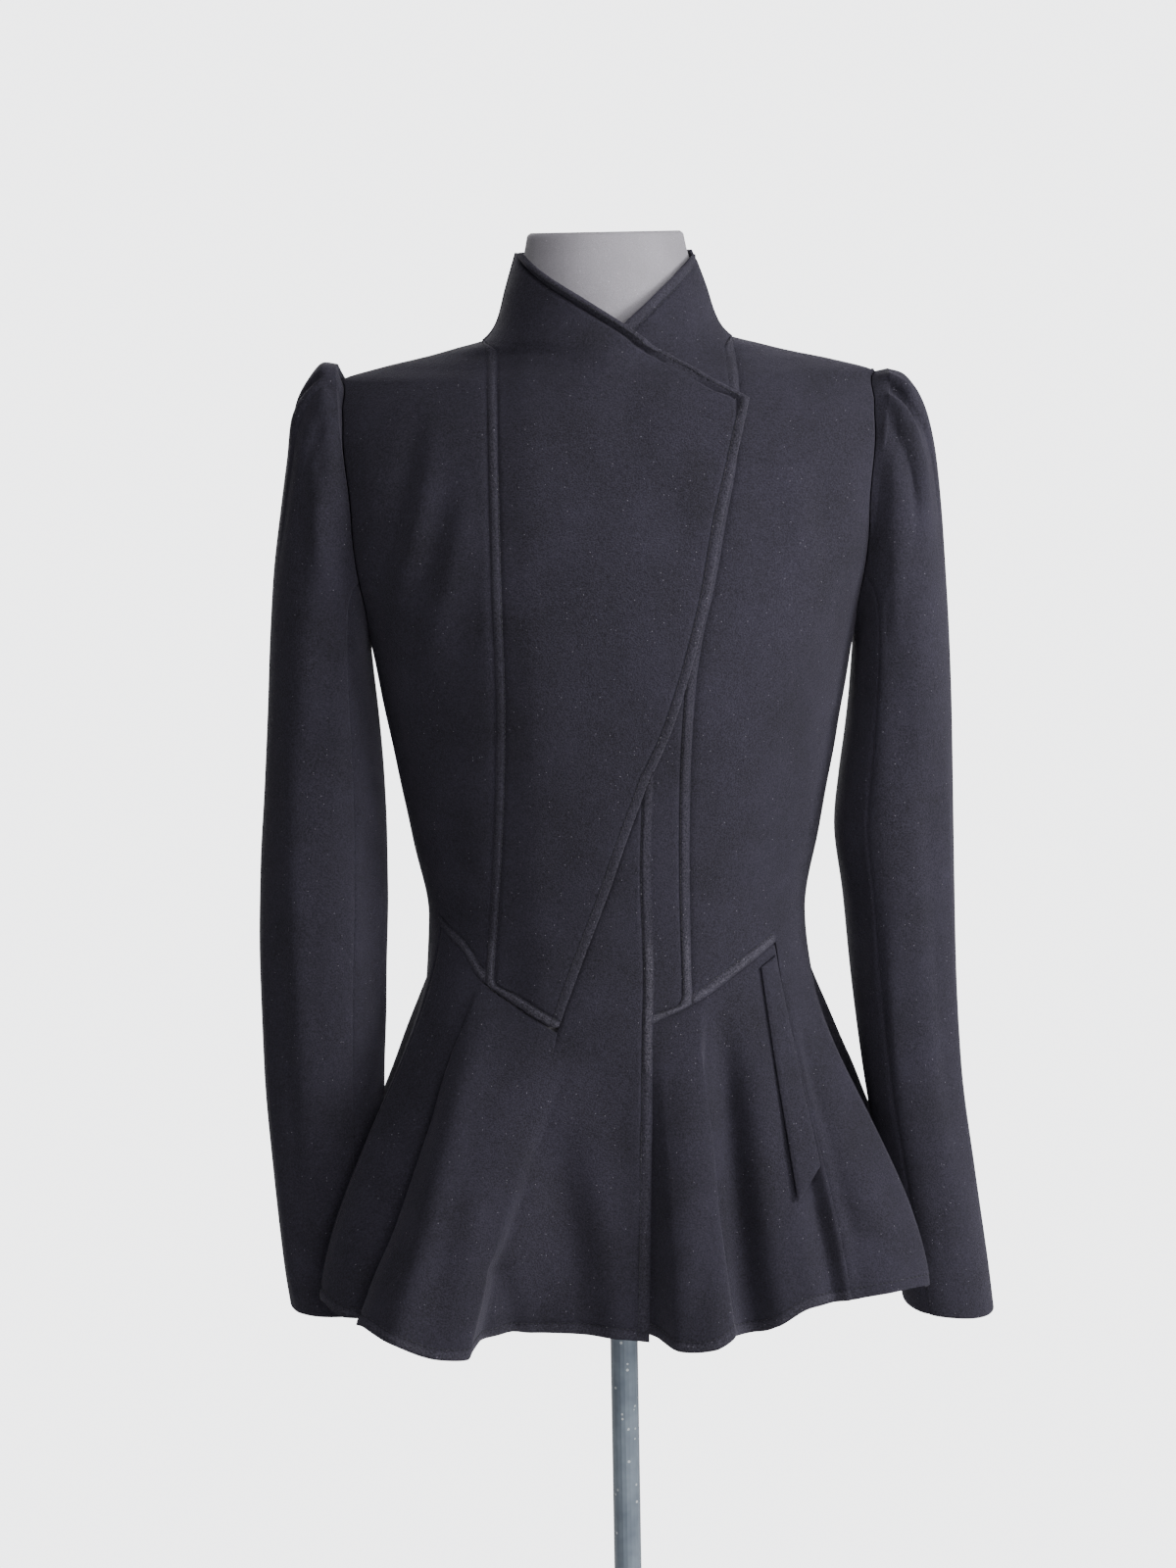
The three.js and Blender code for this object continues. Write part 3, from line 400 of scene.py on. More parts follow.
FRONT_CREASES = creases([
    (-124, 1372, -172, 1215, -3.4, 10, 5), (-118, 1372, -156, 1210, 2.4, 10, 5),
    (-104, 1330, -150, 1185, -3.2, 10, 4), (-96, 1330, -136, 1180, 1.6, 9, 4),
    (-94, 1265, -124, 1130, -1.4, 12, 5), (-146, 1180, -104, 1110, -1.6, 11, 5),
    (-140, 1075, -98, 1045, -1.5, 9, 3), (-138, 1050, -90, 1022, 1.1, 8, 2),
    (140, 1330, 158, 1230, -1.6, 12, -4), (118, 1340, 132, 1235, 1.1, 12, 4),
    (152, 1160, 112, 1110, -1.4, 12, 4), (136, 1072, 86, 1052, -1.3, 9, 3),
    (134, 1040, 78, 1012, -1.1, 8, -3), (66, 1235, 30, 1330, -1.4, 16, 4),
    (-58, 1200, -30, 1290, -1.0, 20, 6), (2, 1395, 30, 1330, -1.6, 15, -5),
    (-30, 1080, -66, 990, -1.0, 16, 4), (-36, 1010, -66, 958, 0.9, 9, 2),
])
BACK_CREASES = creases([
    (-130, 1340, -112, 1215, -2.6, 11, 5), (134, 1345, 116, 1220, -2.4, 11, -5),
    (-96, 1330, -92, 1190, 1.6, 14, -6), (100, 1330, 96, 1200, 1.5, 13, 5),
    (-132, 1070, -70, 1040, -1.7, 9, 4), (130, 1062, 64, 1036, -1.7, 9, -4),
    (-126, 1030, -60, 1012, 1.2, 8, 3), (128, 1024, 58, 1008, 1.1, 8, -3),
    (-40, 1230, 36, 1215, -1.2, 16, 5), (-30, 1090, 28, 1078, -1.2, 10, 3),
])
SKIRT_CREASES = creases([
    (-98, 860, -128, 752, 1.2, 10, 4), (126, 818, 196, 764, -2.6, 11, 3),
    (-150, 880, -178, 770, -1.8, 12, 6),
]) + creases([
    (-96, 962, -158, 742, 6.0, 15, 4), (-76, 930, -108, 742, 1.4, 12, -6),
    (-66, 900, -28, 742, -3.4, 14, 6), (-40, 925, -6, 742, 2.0, 13, 6), (-94, 800, -78, 744, -3.0, 8, 3),
    (36, 930, 38, 742, 1.6, 12, 4), (60, 850, 44, 742, -1.8, 11, 4), (73, 957, 87, 742, -8.0, 9, -3),
    (96, 942, 110, 742, 3.5, 11, -4), (122, 945, 150, 742, -8.5, 13, -3),
    (150, 850, 186, 742, 2.6, 14, 7), (-122, 930, -168, 742, -2.4, 10, 5),
    (-168, 850, -196, 742, 1.8, 10, -4),
], to_hem=True)
SKIRT_BACK_CREASES = creases([
    (-112, 930, -140, 770, -1.8, 13, 6), (110, 930, 138, 770, -1.8, 13, -6),
    (-40, 930, -58, 770, 1.6, 13, 5), (40, 930, 56, 770, 1.5, 13, -5), (-8, 900, -12, 760, -1.5, 12, 3),
    (168, 880, 196, 770, -1.5, 13, 5),
])


def creased(points: Array) -> Array:
    """How far the bodice and skirt are pushed out at points, by the creases of their view.

    Args:
        points: points of the bodice or skirt.

    Returns:
        How far out each point moves.
    """
    x, y, z = points[..., 0], points[..., 1], points[..., 2]
    facing = smooth((-y + 10) / 40)
    front = sum(crease.push(x, z) for crease in (*FRONT_CREASES, *SKIRT_CREASES))
    back = sum(crease.push(x, z) for crease in (*BACK_CREASES, *SKIRT_BACK_CREASES))
    return front * facing + back * (1 - facing)


# ------------------------------------------------------------------ nets of points
EDGE_BAND = np.array([0, 0.35, 0.9, 1.7, 3.0, 4.6, 6.0, 6.9, 7.5, 8.0, 8.5, 9.1, 10.0, 12.0])


def slant(edge: Array, across: Array) -> Array:
    """How steeply a grid's lines meet its edge: the sine of the angle between them, at least 0.4.

    It is averaged over nine neighbours, so that a line beside the edge runs on smoothly.
    """
    meeting = np.linalg.norm(np.cross(unit(np.gradient(edge, axis=0)), unit(across)), axis=-1)
    return np.convolve(np.pad(np.maximum(meeting, 0.4), 4, "edge"), np.full(9, 1 / 9), "valid")


def banded(width: Array, inner: int, slants: tuple[Array, Array] | None = None) -> Array:
    """Shares across rows that crowd near both edges, where stitching and turned edges need points.

    Args:
        width: the length of each row.
        inner: how many even steps lie between the two bands.
        slants: how steeply each row meets the left and the right edge.

    Returns:
        An array of rows by columns, from 0 to 1.
    """
    bands = []
    for meeting in slants or (np.ones_like(width), np.ones_like(width)):
        band = EDGE_BAND[None, :] / meeting[:, None]
        bands.append(band * np.minimum(1.0, width / (3 * band[:, -1]))[:, None] / width[:, None])
    left, right = bands
    even = np.linspace(0, 1, inner + 1)[None, 1:-1]
    middle = left[:, -1:] + even * (1 - left[:, -1:] - right[:, -1:])
    return np.concatenate([left, middle, 1 - right[:, ::-1]], 1)


@dataclass
class Net:
    """A grid of outer points: rows from the top down, columns from left to right seen from outside."""

    points: Array
    wear: Array | None = None  # 0 to 1 at each point: where the nap is worn pale, and where a pale highlight is painted on a rolled edge

    def normals(self) -> Array:
        """Outward directions: the downward step crossed with the step to the right.

        Returns:
            A unit vector for each point.
        """
        down = np.gradient(self.points, axis=0)
        aside = np.gradient(self.points, axis=1)
        return unit(np.cross(down, aside))

    def runs(self, axis: int) -> Array:
        """Length along rows (axis 1) or columns (axis 0), from the first point.

        Args:
            axis: 1 along the rows, 0 down the columns.

        Returns:
            The length at each point.
        """
        step = np.linalg.norm(np.diff(self.points, axis=axis), axis=-1)
        start = np.zeros_like(np.take(step, [0], axis))
        return np.concatenate([start, np.cumsum(step, axis)], axis)

    def distance(self, edge: str) -> Array:
        """How far each point lies from an edge: the length along the net, times the slant at the edge.

        Args:
            edge: left, right, top or bottom.

        Returns:
            The distance of each point.
        """
        sideways = edge in ("left", "right")
        run = self.runs(1 if sideways else 0)
        points = self.points if sideways else np.swapaxes(self.points, 0, 1)
        end, inner = (0, 1) if edge in ("left", "top") else (-1, -2)
        meeting = slant(points[:, end], points[:, inner] - points[:, end])
        meeting = meeting[:, None] if sideways else meeting[None, :]
        if edge in ("left", "top"):
            return run * meeting
        last = run[:, -1:] if edge == "right" else run[-1:, :]
        return (last - run) * meeting

    def pushed(self, out: Array) -> "Net":
        """The net moved out along its normals."""
        return Net(self.points + self.normals() * out[..., None], self.wear)

    def mirrored(self) -> "Net":
        """The net seen from outside on the other side of the coat."""
        return Net((self.points * [-1, 1, 1])[:, ::-1])

    def line(self, edge: str, inset: float, span: tuple[float, float] = (0.0, 1.0)) -> tuple[Array, Array]:
        """Points and normals of a line that runs beside an edge.

        Args:
            edge: left, right, top or bottom.
            inset: the line's distance from the edge.
            span: the share of the edge that it follows.

        Returns:
            The line's points and its outward directions.
        """
        points, out, distance = self.points, self.normals(), self.distance(edge)
        if edge in ("left", "right"):
            points, out, distance = (np.swapaxes(a, 0, 1) for a in (points, out, distance))
        if edge in ("right", "bottom"):
            points, out, distance = points[::-1], out[::-1], distance[::-1]
        count = points.shape[1]
        first, last = int(span[0] * (count - 1)), int(math.ceil(span[1] * (count - 1)))
        columns = np.arange(first, last + 1)
        near = np.argmax(distance[:, columns] >= inset, axis=0)
        near = np.maximum(near, 1)
        low, high = distance[near - 1, columns], distance[near, columns]
        t = ((inset - low) / np.maximum(high - low, 1e-6))[:, None]
        mixed = [a[near - 1, columns] * (1 - t) + a[near, columns] * t for a in (points, out)]
        return mixed[0], unit(mixed[1])

    def area(self) -> float:
        """The net's area in square metres.

        Returns:
            The area of all its quads, each half the cross product of its diagonals.
        """
        p = self.points
        crosses = np.cross(p[1:, 1:] - p[:-1, :-1], p[1:, :-1] - p[:-1, 1:])
        return float(np.linalg.norm(crosses, axis=-1).sum() / 2) * MM * MM


TURN_IN, TURN_WIDTH = 1.2, 1.4  # how far a sewn edge turns in, and over what width
RUN_UNDER = 0.3  # how far a sewn edge runs under its neighbour, so that no light shows between
STITCH_INSET, GROOVE_DEPTH, GROOVE_WIDTH = 7.5, 0.9, 1.1
WAIST_STRIP = 1003.0  # the strips below this height, along the waist, stand prouder and are more rubbed
STRIP_RISE = 0.4  # how far the strip between an edge and its topstitching swells
ROLL_INSET, ROLL_RISE, ROLL_GROOVE, ROLL_GROOVE_WIDTH = 6.0, 2.4, 2.8, 1.7  # the lapel's turned edge
FLAT_ROLL, SEAM_ROLL = 0.27, 0.13  # how round that edge still is below the corner, and along its seam


def out_of_oval(points: Array) -> Array:
    """Straight out of an upright oval, which both sides of a seam share."""
    return unit(points * np.array([1 / 1.6, 1.0, 0.0]))


def wander(points: Array) -> Array:
    """Slow unevenness of hanging cloth: three sines of unlike directions, under half a millimetre."""
    waves = (((0.061, 0.017, 0.043), 0.17), ((-0.035, 0.071, 0.029), 0.15), ((0.012, -0.04, 0.113), 0.12))
    return sum(height * np.sin(points @ np.array(wave) + 40 * height) for wave, height in waves)


def finished(net: Net, sewn: Sequence[str] = (), stitched: Sequence[str] = (), rolled: Sequence[str] = (),
             foot: Array | float = 1.0, roll: Array | float = 1.0) -> Net:
    """The net with creases, edges that turn in at seams, and shallow grooves under topstitching.

    An edge sinks by TURN_IN times the falling exponential of its distance, a groove by its depth
    times a bell curve about STITCH_INSET, and the strip outside the groove swells a little and is marked
    as worn pale. A rolled edge swells as a half round up to a deeper groove, and its bead is painted
    pale, most at its rim: a painted highlight where it catches the light, with some worn edge.

    Args:
        net: the plain net.
        sewn: the edges that turn in.
        stitched: the edges with a line of topstitching beside them.
        rolled: the free edges with a thick turned edge.
        foot: how much of the bottom's groove each column has.
        roll: how round the rolled edge is in each row.

    Returns:
        The finished net, with how worn it is at each point and where a highlight is painted.
    """
    shape = creased(net.points) + wander(net.points)
    out = np.zeros_like(shape)
    turned = np.zeros_like(shape)
    wear = np.zeros_like(shape)
    for edge in ("left", "right", "top", "bottom"):
        distance = net.distance(edge)
        share = foot if edge == "bottom" else 1.0
        if edge in sewn:
            shape = shape * smooth(distance / 12)
            turned += TURN_IN * np.exp(-distance / TURN_WIDTH)
        if edge in stitched:
            out -= share * GROOVE_DEPTH * np.exp(-(((distance - STITCH_INSET) / GROOVE_WIDTH) ** 2))
            strip = smooth(distance / 2.5) * smooth((STITCH_INSET - distance) / 2.5) * share
            near_waist = smooth((WAIST_STRIP - net.points[..., 2]) / 12) * (net.points[..., 2] > 910)
            out += STRIP_RISE * strip * (1 + 1.2 * near_waist)
            wear = np.maximum(wear, (0.6 + 0.9 * near_waist) * strip)
        if edge in rolled:
            round_edge = np.sqrt(np.sin(np.pi * np.clip(distance / ROLL_INSET, 0, 1)).clip(0, 1))
            groove = np.exp(-(((distance - ROLL_INSET) / ROLL_GROOVE_WIDTH) ** 2))
            out += roll * (ROLL_RISE * round_edge - ROLL_GROOVE * groove)
            # The rolled edge's bead and rim are painted pale: a painted highlight where it catches the light,
            # and the worn edge of its rim.
            rim_wear_and_highlight, band = np.exp(-((distance / 1.1) ** 2)), 0.5 * smooth(ROLL_INSET - distance)
            wear = np.maximum(wear, np.maximum(rim_wear_and_highlight, band))
    pushed = net.pushed(shape + out).points - out_of_oval(net.points) * turned[..., None]
    for edge, (end, inner) in {"left": (0, 1), "right": (-1, -2)}.items():
        if edge in sewn:
            pushed[:, end] += unit(net.points[:, end] - net.points[:, inner]) * RUN_UNDER
    return Net(pushed, wear)


# ------------------------------------------------------------------ meshes
def shift() -> Array:
    """Where the garment's own axes lie in the frame, in metres: the pole's middle, at floor level.

    Returns:
        The shift to add to a point in metres.
    """
    low, high = (np.array(corner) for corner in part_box("pole"))
    middle = (low + high) / 2
    return np.array([middle[0], middle[1], 0.0])


SHIFT = shift()


def mesh_object(name: str, points: Array, faces: Array | list, material: bpy.types.Material,
                replaced: Sequence[str] = (), wear: Array | None = None) -> bpy.types.Object:
    """Makes a smooth-shaded piece from points in millimetres, and rides it on the frame's body.

    Args:
        name: the piece's name.
        points: its corners.
        faces: the corners of each face.
        material: its one material.
        replaced: the frame's nodes that it stands in for.
        wear: how worn the cloth is at each corner, with the painted highlight of rolled edges,
        kept as an attribute.

    Returns:
        The piece, riding on the root body.
    """
    mesh = bpy.data.meshes.new(name)
    placed = np.asarray(points, float) * MM + SHIFT
    mesh.from_pydata(placed.tolist(), [], [tuple(int(i) for i in face) for face in faces])
    if wear is not None:
        mesh.attributes.new("wear", "FLOAT", "POINT").data.foreach_set("value", wear.astype(np.float32))
    mesh.validate()
    mesh.shade_smooth()
    mesh.materials.append(material)
    piece = bpy.data.objects.new(name, mesh)
    bpy.context.scene.collection.objects.link(piece)
    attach(piece, "root")
    if replaced:
        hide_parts(*replaced)
    return piece


def quads(index: Array, closed: bool = False) -> Array:
    """Faces between the neighbouring rows and columns of a grid of point numbers.

    Args:
        index: the numbers, rows from the top down and columns from left to right seen from outside.
        closed: whether the last column joins the first.

    Returns:
        The faces, as rows of four point numbers.
    """
    if closed:
        index = np.concatenate([index, index[:, :1]], 1)
    corners = (index[:-1, :-1], index[1:, :-1], index[1:, 1:], index[:-1, 1:])
    return np.stack(corners, -1).reshape(-1, 4)


def joined(nets: Sequence[Net]) -> tuple[Array, Array, Array]:
    """Sews nets into one set of points, faces and pale marks, worn and painted highlight: equal points become
    one.

    Args:
        nets: the nets, whose shared edges lie on each other.

    Returns:
        The points, the faces as rows of four point numbers, and the worn pale and painted highlight at each
        point.
    """
    points, faces, wear, start = [], [], [], 0
    for net in nets:
        rows, columns = net.points.shape[:2]
        index = start + np.arange(rows * columns).reshape(rows, columns)
        points.append(net.points.reshape(-1, 3))
        faces.append(quads(index))
        wear.append(np.zeros(rows * columns) if net.wear is None else net.wear.reshape(-1))
        start += rows * columns
    every = np.concatenate(points)
    _, first, same = np.unique(np.round(every, 2), axis=0, return_index=True, return_inverse=True)
    return every[first], same.reshape(-1)[np.concatenate(faces)], np.concatenate(wear)[first]


def clean_faces(faces: Array) -> list[tuple[int, ...]]:
    """Faces without repeated corners, as a tapered end leaves them.

    Args:
        faces: rows of four point numbers.

    Returns:
        The faces with three or four different corners.
    """
    kept = []
    for face in faces.tolist():
        corners = tuple(dict.fromkeys(face))
        if len(corners) > 2:
            kept.append(corners)
    return kept


@dataclass
class Stitching:
    """Topstitching gathered from every piece, made as one mesh of small spindles."""

    pitch: float = 3.7  # from the middle of a stitch to the next
    length: float = 2.7
    radius: float = 0.34
    rock: float = 0.09  # how far a stitch turns from its line, alternately
    proud: float = 0.12  # how far its middle stands off the cloth
    sides: int = 5
    lines: list[tuple[Array, Array]] = field(default_factory=list)

    def add(self, line: tuple[Array, Array]) -> None:
        """Keeps a line of points and normals to stitch along."""
        self.lines.append(line)

    def stitch(self, points: Array, out: Array) -> Array:
        """Rings of every stitch on one line, as stitches by rings by sides by 3.

        Middles lie every pitch along the line. Four rings stand across the line at each stitch, the
        end ones narrow, and a stitch rocks a little from the line, alternately.

        Args:
            points: the line's points.
            out: the line's outward directions.

        Returns:
            The points of the rings.
        """
        run = np.concatenate([[0], np.cumsum(np.linalg.norm(np.diff(points, axis=0), axis=1))])
        middles = np.arange(self.pitch, run[-1] - self.pitch / 2, self.pitch)

        def along_line(values: Array, at: Array) -> Array:
            """The line's points or normals at lengths along it."""
            return np.stack([np.interp(at, run, values[:, k]) for k in range(3)], -1)

        place, ahead = along_line(points, middles), along_line(points, middles + 1)
        normal = unit(along_line(out, middles))
        along = unit(ahead - place)
        across = unit(np.cross(normal, along))
        rock = self.rock * np.where(np.arange(len(middles)) % 2, 1.0, -1.0)[:, None]
        along = unit(along + across * rock)
        places = np.array([-0.5, -0.32, 0.32, 0.5]) * self.length
        sizes = np.array([0.35, 1.0, 1.0, 0.35]) * self.radius
        turn = np.linspace(0, 2 * np.pi, self.sides, endpoint=False)
        sides = (np.cos(turn)[:, None, None] * across + np.sin(turn)[:, None, None] * normal)
        rings = (place[None, None] + places[:, None, None, None] * along[None, None]
                 + sizes[:, None, None, None] * sides[None] + self.proud * normal[None, None])
        return np.transpose(rings, (2, 0, 1, 3))

    def build(self, material: bpy.types.Material) -> bpy.types.Object:
        """Makes all the stitches as one piece.

        Args:
            material: the thread.

        Returns:
            The one piece that holds every stitch.
        """
        rings = np.concatenate([self.stitch(*line) for line in self.lines if len(line[0]) > 2])
        count = len(rings)
        index = np.arange(4 * self.sides).reshape(4, self.sides)
        sides = quads(index, closed=True)[:, ::-1]
        start = (4 * self.sides * np.arange(count))[:, None, None]
        faces = (sides[None] + start).reshape(-1, 4).tolist()
        ends = (np.stack([index[0][::-1], index[-1]])[None] + start).reshape(-1, self.sides).tolist()
        return mesh_object("topstitching", rings.reshape(-1, 3), faces + ends, material)


# ------------------------------------------------------------------ skirt and sleeves
TUCK_POWER = 6  # how soon above the hem a tuck dies out
MATCH_ROWS = 12  # rows over which a lower net eases away from the one above


def skirt_points(waist: Array, across: Array, hem: Table, rows: int, tuck: Table | None = None,
                 slide: Table | None = None) -> Array:
    """The flared skirt below a waist row.

    Each column runs from its waist point to its hem point. Its height falls evenly, and its flare is
    a mix of an even rate and an S curve, by the hem's ease. A tuck's depth grows by the TUCK_POWERth
    power of the way down, and a slide is greatest halfway.

    Args:
        waist: the waist row's points.
        across: each point's place across the piece.
        hem: the piece's hem table.
        rows: how many steps to take down.
        tuck: how far each place of the hem is tucked in.
        slide: how far each column moves aside halfway down.

    Returns:
        The points, as rows by columns by 3.
    """
    down = np.linspace(0, 1, rows + 1)[:, None]
    ease = hem.at("ease", across, key="across")[None]
    flare = down + (smooth(down) - down) * ease
    end = [hem.at(name, across, key="across")[None] for name in "xyz"]
    depth = tuck.at("depth", across, key="across")[None] if tuck else np.zeros((1, len(across)))
    x = waist[None, :, 0] + (end[0] - waist[None, :, 0]) * flare
    y = waist[None, :, 1] + (end[1] - depth - waist[None, :, 1]) * flare + depth * down**TUCK_POWER
    z = waist[None, :, 2] + (end[2] - waist[None, :, 2]) * down
    if slide:
        x = x + slide.at("shift", across, key="across")[None] * 4 * down * (1 - down)
    return np.stack([x, y, z], -1)


def match_rows(above: Net, below: Net, at_right: bool) -> Net:
    """The lower net with its first row laid on the last row of the one above, easing out below it.

    Args:
        above: the upper net.
        below: the lower net.
        at_right: whether the last columns match, and not the first.

    Returns:
        The moved lower net.
    """
    count = min(above.points.shape[1], below.points.shape[1])
    part = slice(-count, None) if at_right else slice(0, count)
    moved = below.points.copy()
    slip = above.points[-1, part] - moved[0, part]
    fade = 1 - smooth(np.arange(len(moved)) / MATCH_ROWS)
    moved[:, part] += fade[:, None, None] * slip[None]
    return Net(moved, below.wear)


@dataclass(frozen=True)
class SleeveCrease:
    """A soft fold of a sleeve: from and to as ring and angle, its depth, and its width in degrees."""

    start: tuple[float, float]
    end: tuple[float, float]
    depth: float
    width: float

    def push(self, ring: Array, turn: Array) -> Array:
        """Depth times a bell curve of the angle off the fold's line, fading at its two ends.

        Args:
            ring: each point's ring.
            turn: each point's angle, in degrees.

        Returns:
            How far out each point moves.
        """
        run = (ring - self.start[0]) / (self.end[0] - self.start[0])
        middle = self.start[1] + (self.end[1] - self.start[1]) * run
        off = (turn - middle + 180) % 360 - 180
        fade = smooth(run / 0.3) * smooth((1 - run) / 0.3) * ((run > 0) & (run < 1))
        return self.depth * np.exp(-((off / self.width) ** 2)) * fade


def sleeve_creases(rows: Sequence[tuple[float, ...]]) -> tuple[SleeveCrease, ...]:
    """Folds from rows of: from ring and angle, to ring and angle, depth and width."""
    return tuple(SleeveCrease(row[:2], row[2:4], *row[4:]) for row in rows)


SLEEVE_CREASES = {
    Side.RIGHT: sleeve_creases([
        (1.4, 30, 5.4, 0, -3.0, 4), (1.2, 44, 5.2, 14, 1.6, 6), (1.2, 52, 7.0, 66, -2.2, 10),
        (1.0, 72, 6.2, 88, 1.8, 10), (4.0, 110, 10.0, 84, -1.8, 12), (8.5, 60, 13.5, 80, 1.6, 12),
        (11.0, 30, 16.5, 46, 1.9, 9), (10.5, 54, 15.5, 70, -1.7, 10), (9.5, 130, 12.5, 150, -2.0, 16),
        (10.5, 150, 13.0, 176, 1.6, 14), (2.0, -60, 9.0, -80, -2.0, 13),
        (9.0, -120, 13.0, -96, -1.8, 13), (11.5, -60, 16.0, -76, 1.6, 12),
    ]),
    Side.LEFT: sleeve_creases([
        (0.1, 26, 3.8, 38, -4.2, 3.5), (0.1, 16, 3.4, 30, 2.2, 5), (0.4, 36, 4.2, 50, 2.0, 5),
        (0.4, 56, 5.6, 68, -5.0, 8), (1.0, 44, 6.0, 54, 1.6, 8), (1.6, 82, 7.0, 100, 1.5, 10),
        (4.5, 112, 10.0, 86, -1.6, 13), (8.5, 44, 15.0, 24, 1.6, 9), (9.0, 70, 14.5, 52, -1.8, 12),
        (9.6, 128, 12.6, 150, -2.0, 15), (10.8, 96, 13.6, 124, 1.4, 12), (2.0, -60, 9.0, -78, -2.0, 13),
        (9.0, -118, 13.0, -96, -1.8, 13), (11.5, -58, 16.0, -74, 1.6, 12),
    ]),
}


@dataclass(frozen=True)
class Sleeve:
    """A sleeve's surface on the wearer's left: rings from the armhole, ring 0, to the cuff, ring 16."""

    side: Side

    def points(self, ring: Array, turn: Array) -> Array:
        """Outer points: the armhole's curve runs into the first ring, and rings run on to the cuff.

        A ring's point lies between its inner and outer points by half of one plus the cosine's power,
        and in front of or behind its middle by the sine's power times its depth.

        Args:
            ring: places down the sleeve, from 0 to 16.
            turn: angles from the top towards the front, in degrees.

        Returns:
            The points, one for each pair that ring and turn broadcast to.
        """
        ring, turn = np.broadcast_arrays(ring, turn)
        at = np.maximum(ring, 1.0)
        table = SLEEVE_RINGS[self.side]
        out_x, out_z, in_x, in_z, front, back, mid_y = (
            table.at(name, at, key="ring") for name in "outX outZ inX inZ front back midY".split()
        )
        c, s = np.cos(np.radians(turn)), np.sin(np.radians(turn))
        across = 0.5 + 0.5 * np.sign(c) * np.abs(c) ** SLEEVE_ROUND
        depth = np.sign(s) * np.abs(s) ** SLEEVE_ROUND
        points = np.stack([
            in_x + (out_x - in_x) * across,
            mid_y - depth * np.where(s > 0, front, back),
            in_z + (out_z - in_z) * across,
        ], -1)
        middle = np.stack([(in_x + out_x) / 2, mid_y, (in_z + out_z) / 2], -1)
        from_top = (turn + 180) % 360 - 180
        fade = np.clip(1 - np.abs(at - CAP_MIDDLE) / CAP_REACH, 0, 1)
        raised = np.zeros_like(at)
        for angle, raise_by, slope in CAP_PLEATS:
            away = (from_top - angle) / slope
            fall = np.exp(-np.clip(away, 0, 60) * slope / PLEAT_FALL) * np.clip(away, 0, 1)
            raised = raised + raise_by * np.where(away > 0, fall, 0)
        points = points + unit(points - middle) * (raised * fade)[..., None]
        points = self.beside_bodice(points, np.where(ring < 2, CLEAR_TOP, CLEAR))
        return self.from_armhole(points, ring, turn)

    @staticmethod
    def beside_bodice(points: Array, clear: Array) -> Array:
        """Keeps points off the bodice: x is at least the section's half width there plus a clearance.

        Args:
            points: points of the sleeve.
            clear: the clearance at each.

        Returns:
            The points, moved outward where they came too near.
        """
        x, y, z = points[..., 0], points[..., 1], points[..., 2]
        half, front, back, power = Bodice.section(z)
        share = np.abs(y) / np.where(y < 0, front, back)
        edge = half * np.maximum(0, 1 - np.minimum(share, 1) ** power) ** (1 / power) + clear
        beside = (share < 1) & (z <= ARM_MIDDLE + ARM_RISE)
        moved = points.copy()
        moved[..., 0] = np.where(beside, np.maximum(x, edge), x)
        return moved

    @staticmethod
    def from_armhole(points: Array, ring: Array, turn: Array) -> Array:
        """Runs the first stretch of the sleeve from the armhole's curve to ring 1, bulging outward.

        Args:
            points: points of the sleeve.
            ring: each point's ring.
            turn: each point's angle.

        Returns:
            The points, moved where the ring is under 1.
        """
        z = ARM_MIDDLE + ARM_RISE * np.cos(np.radians(turn))
        s = np.sin(np.radians(turn))
        y = np.where(s > 0, -s * ARM_FRONT, -s * ARM_BACK)
        armhole = Bodice.point(z, Bodice.angle_at_y(z, y)) - np.array([RUN_UNDER, 0, 0])
        t = np.clip(ring, 0, 1)[..., None]
        eased = np.sin(t * np.pi / 2)
        return np.where(t < 1, armhole + (points - armhole) * eased, points)

    def creases(self, ring: Array, turn: Array) -> Array:
        """How far the folds push the sleeve out."""
        ring, turn = np.broadcast_arrays(ring, turn)
        return sum(crease.push(ring, turn) for crease in SLEEVE_CREASES[self.side])


# ------------------------------------------------------------------ the coat
@dataclass(frozen=True)
class Welt:
    """The pocket welt's place on the front skirt, as shares down and across, and how far it rises."""

    start: float = 0.03
    to_inner: float = 0.7
    to_outer: float = 0.62
    inner: float = 0.9
    outer: float = 0.985
    proud: float = 2.15
    swell: float = 0.9


WELT = Welt()


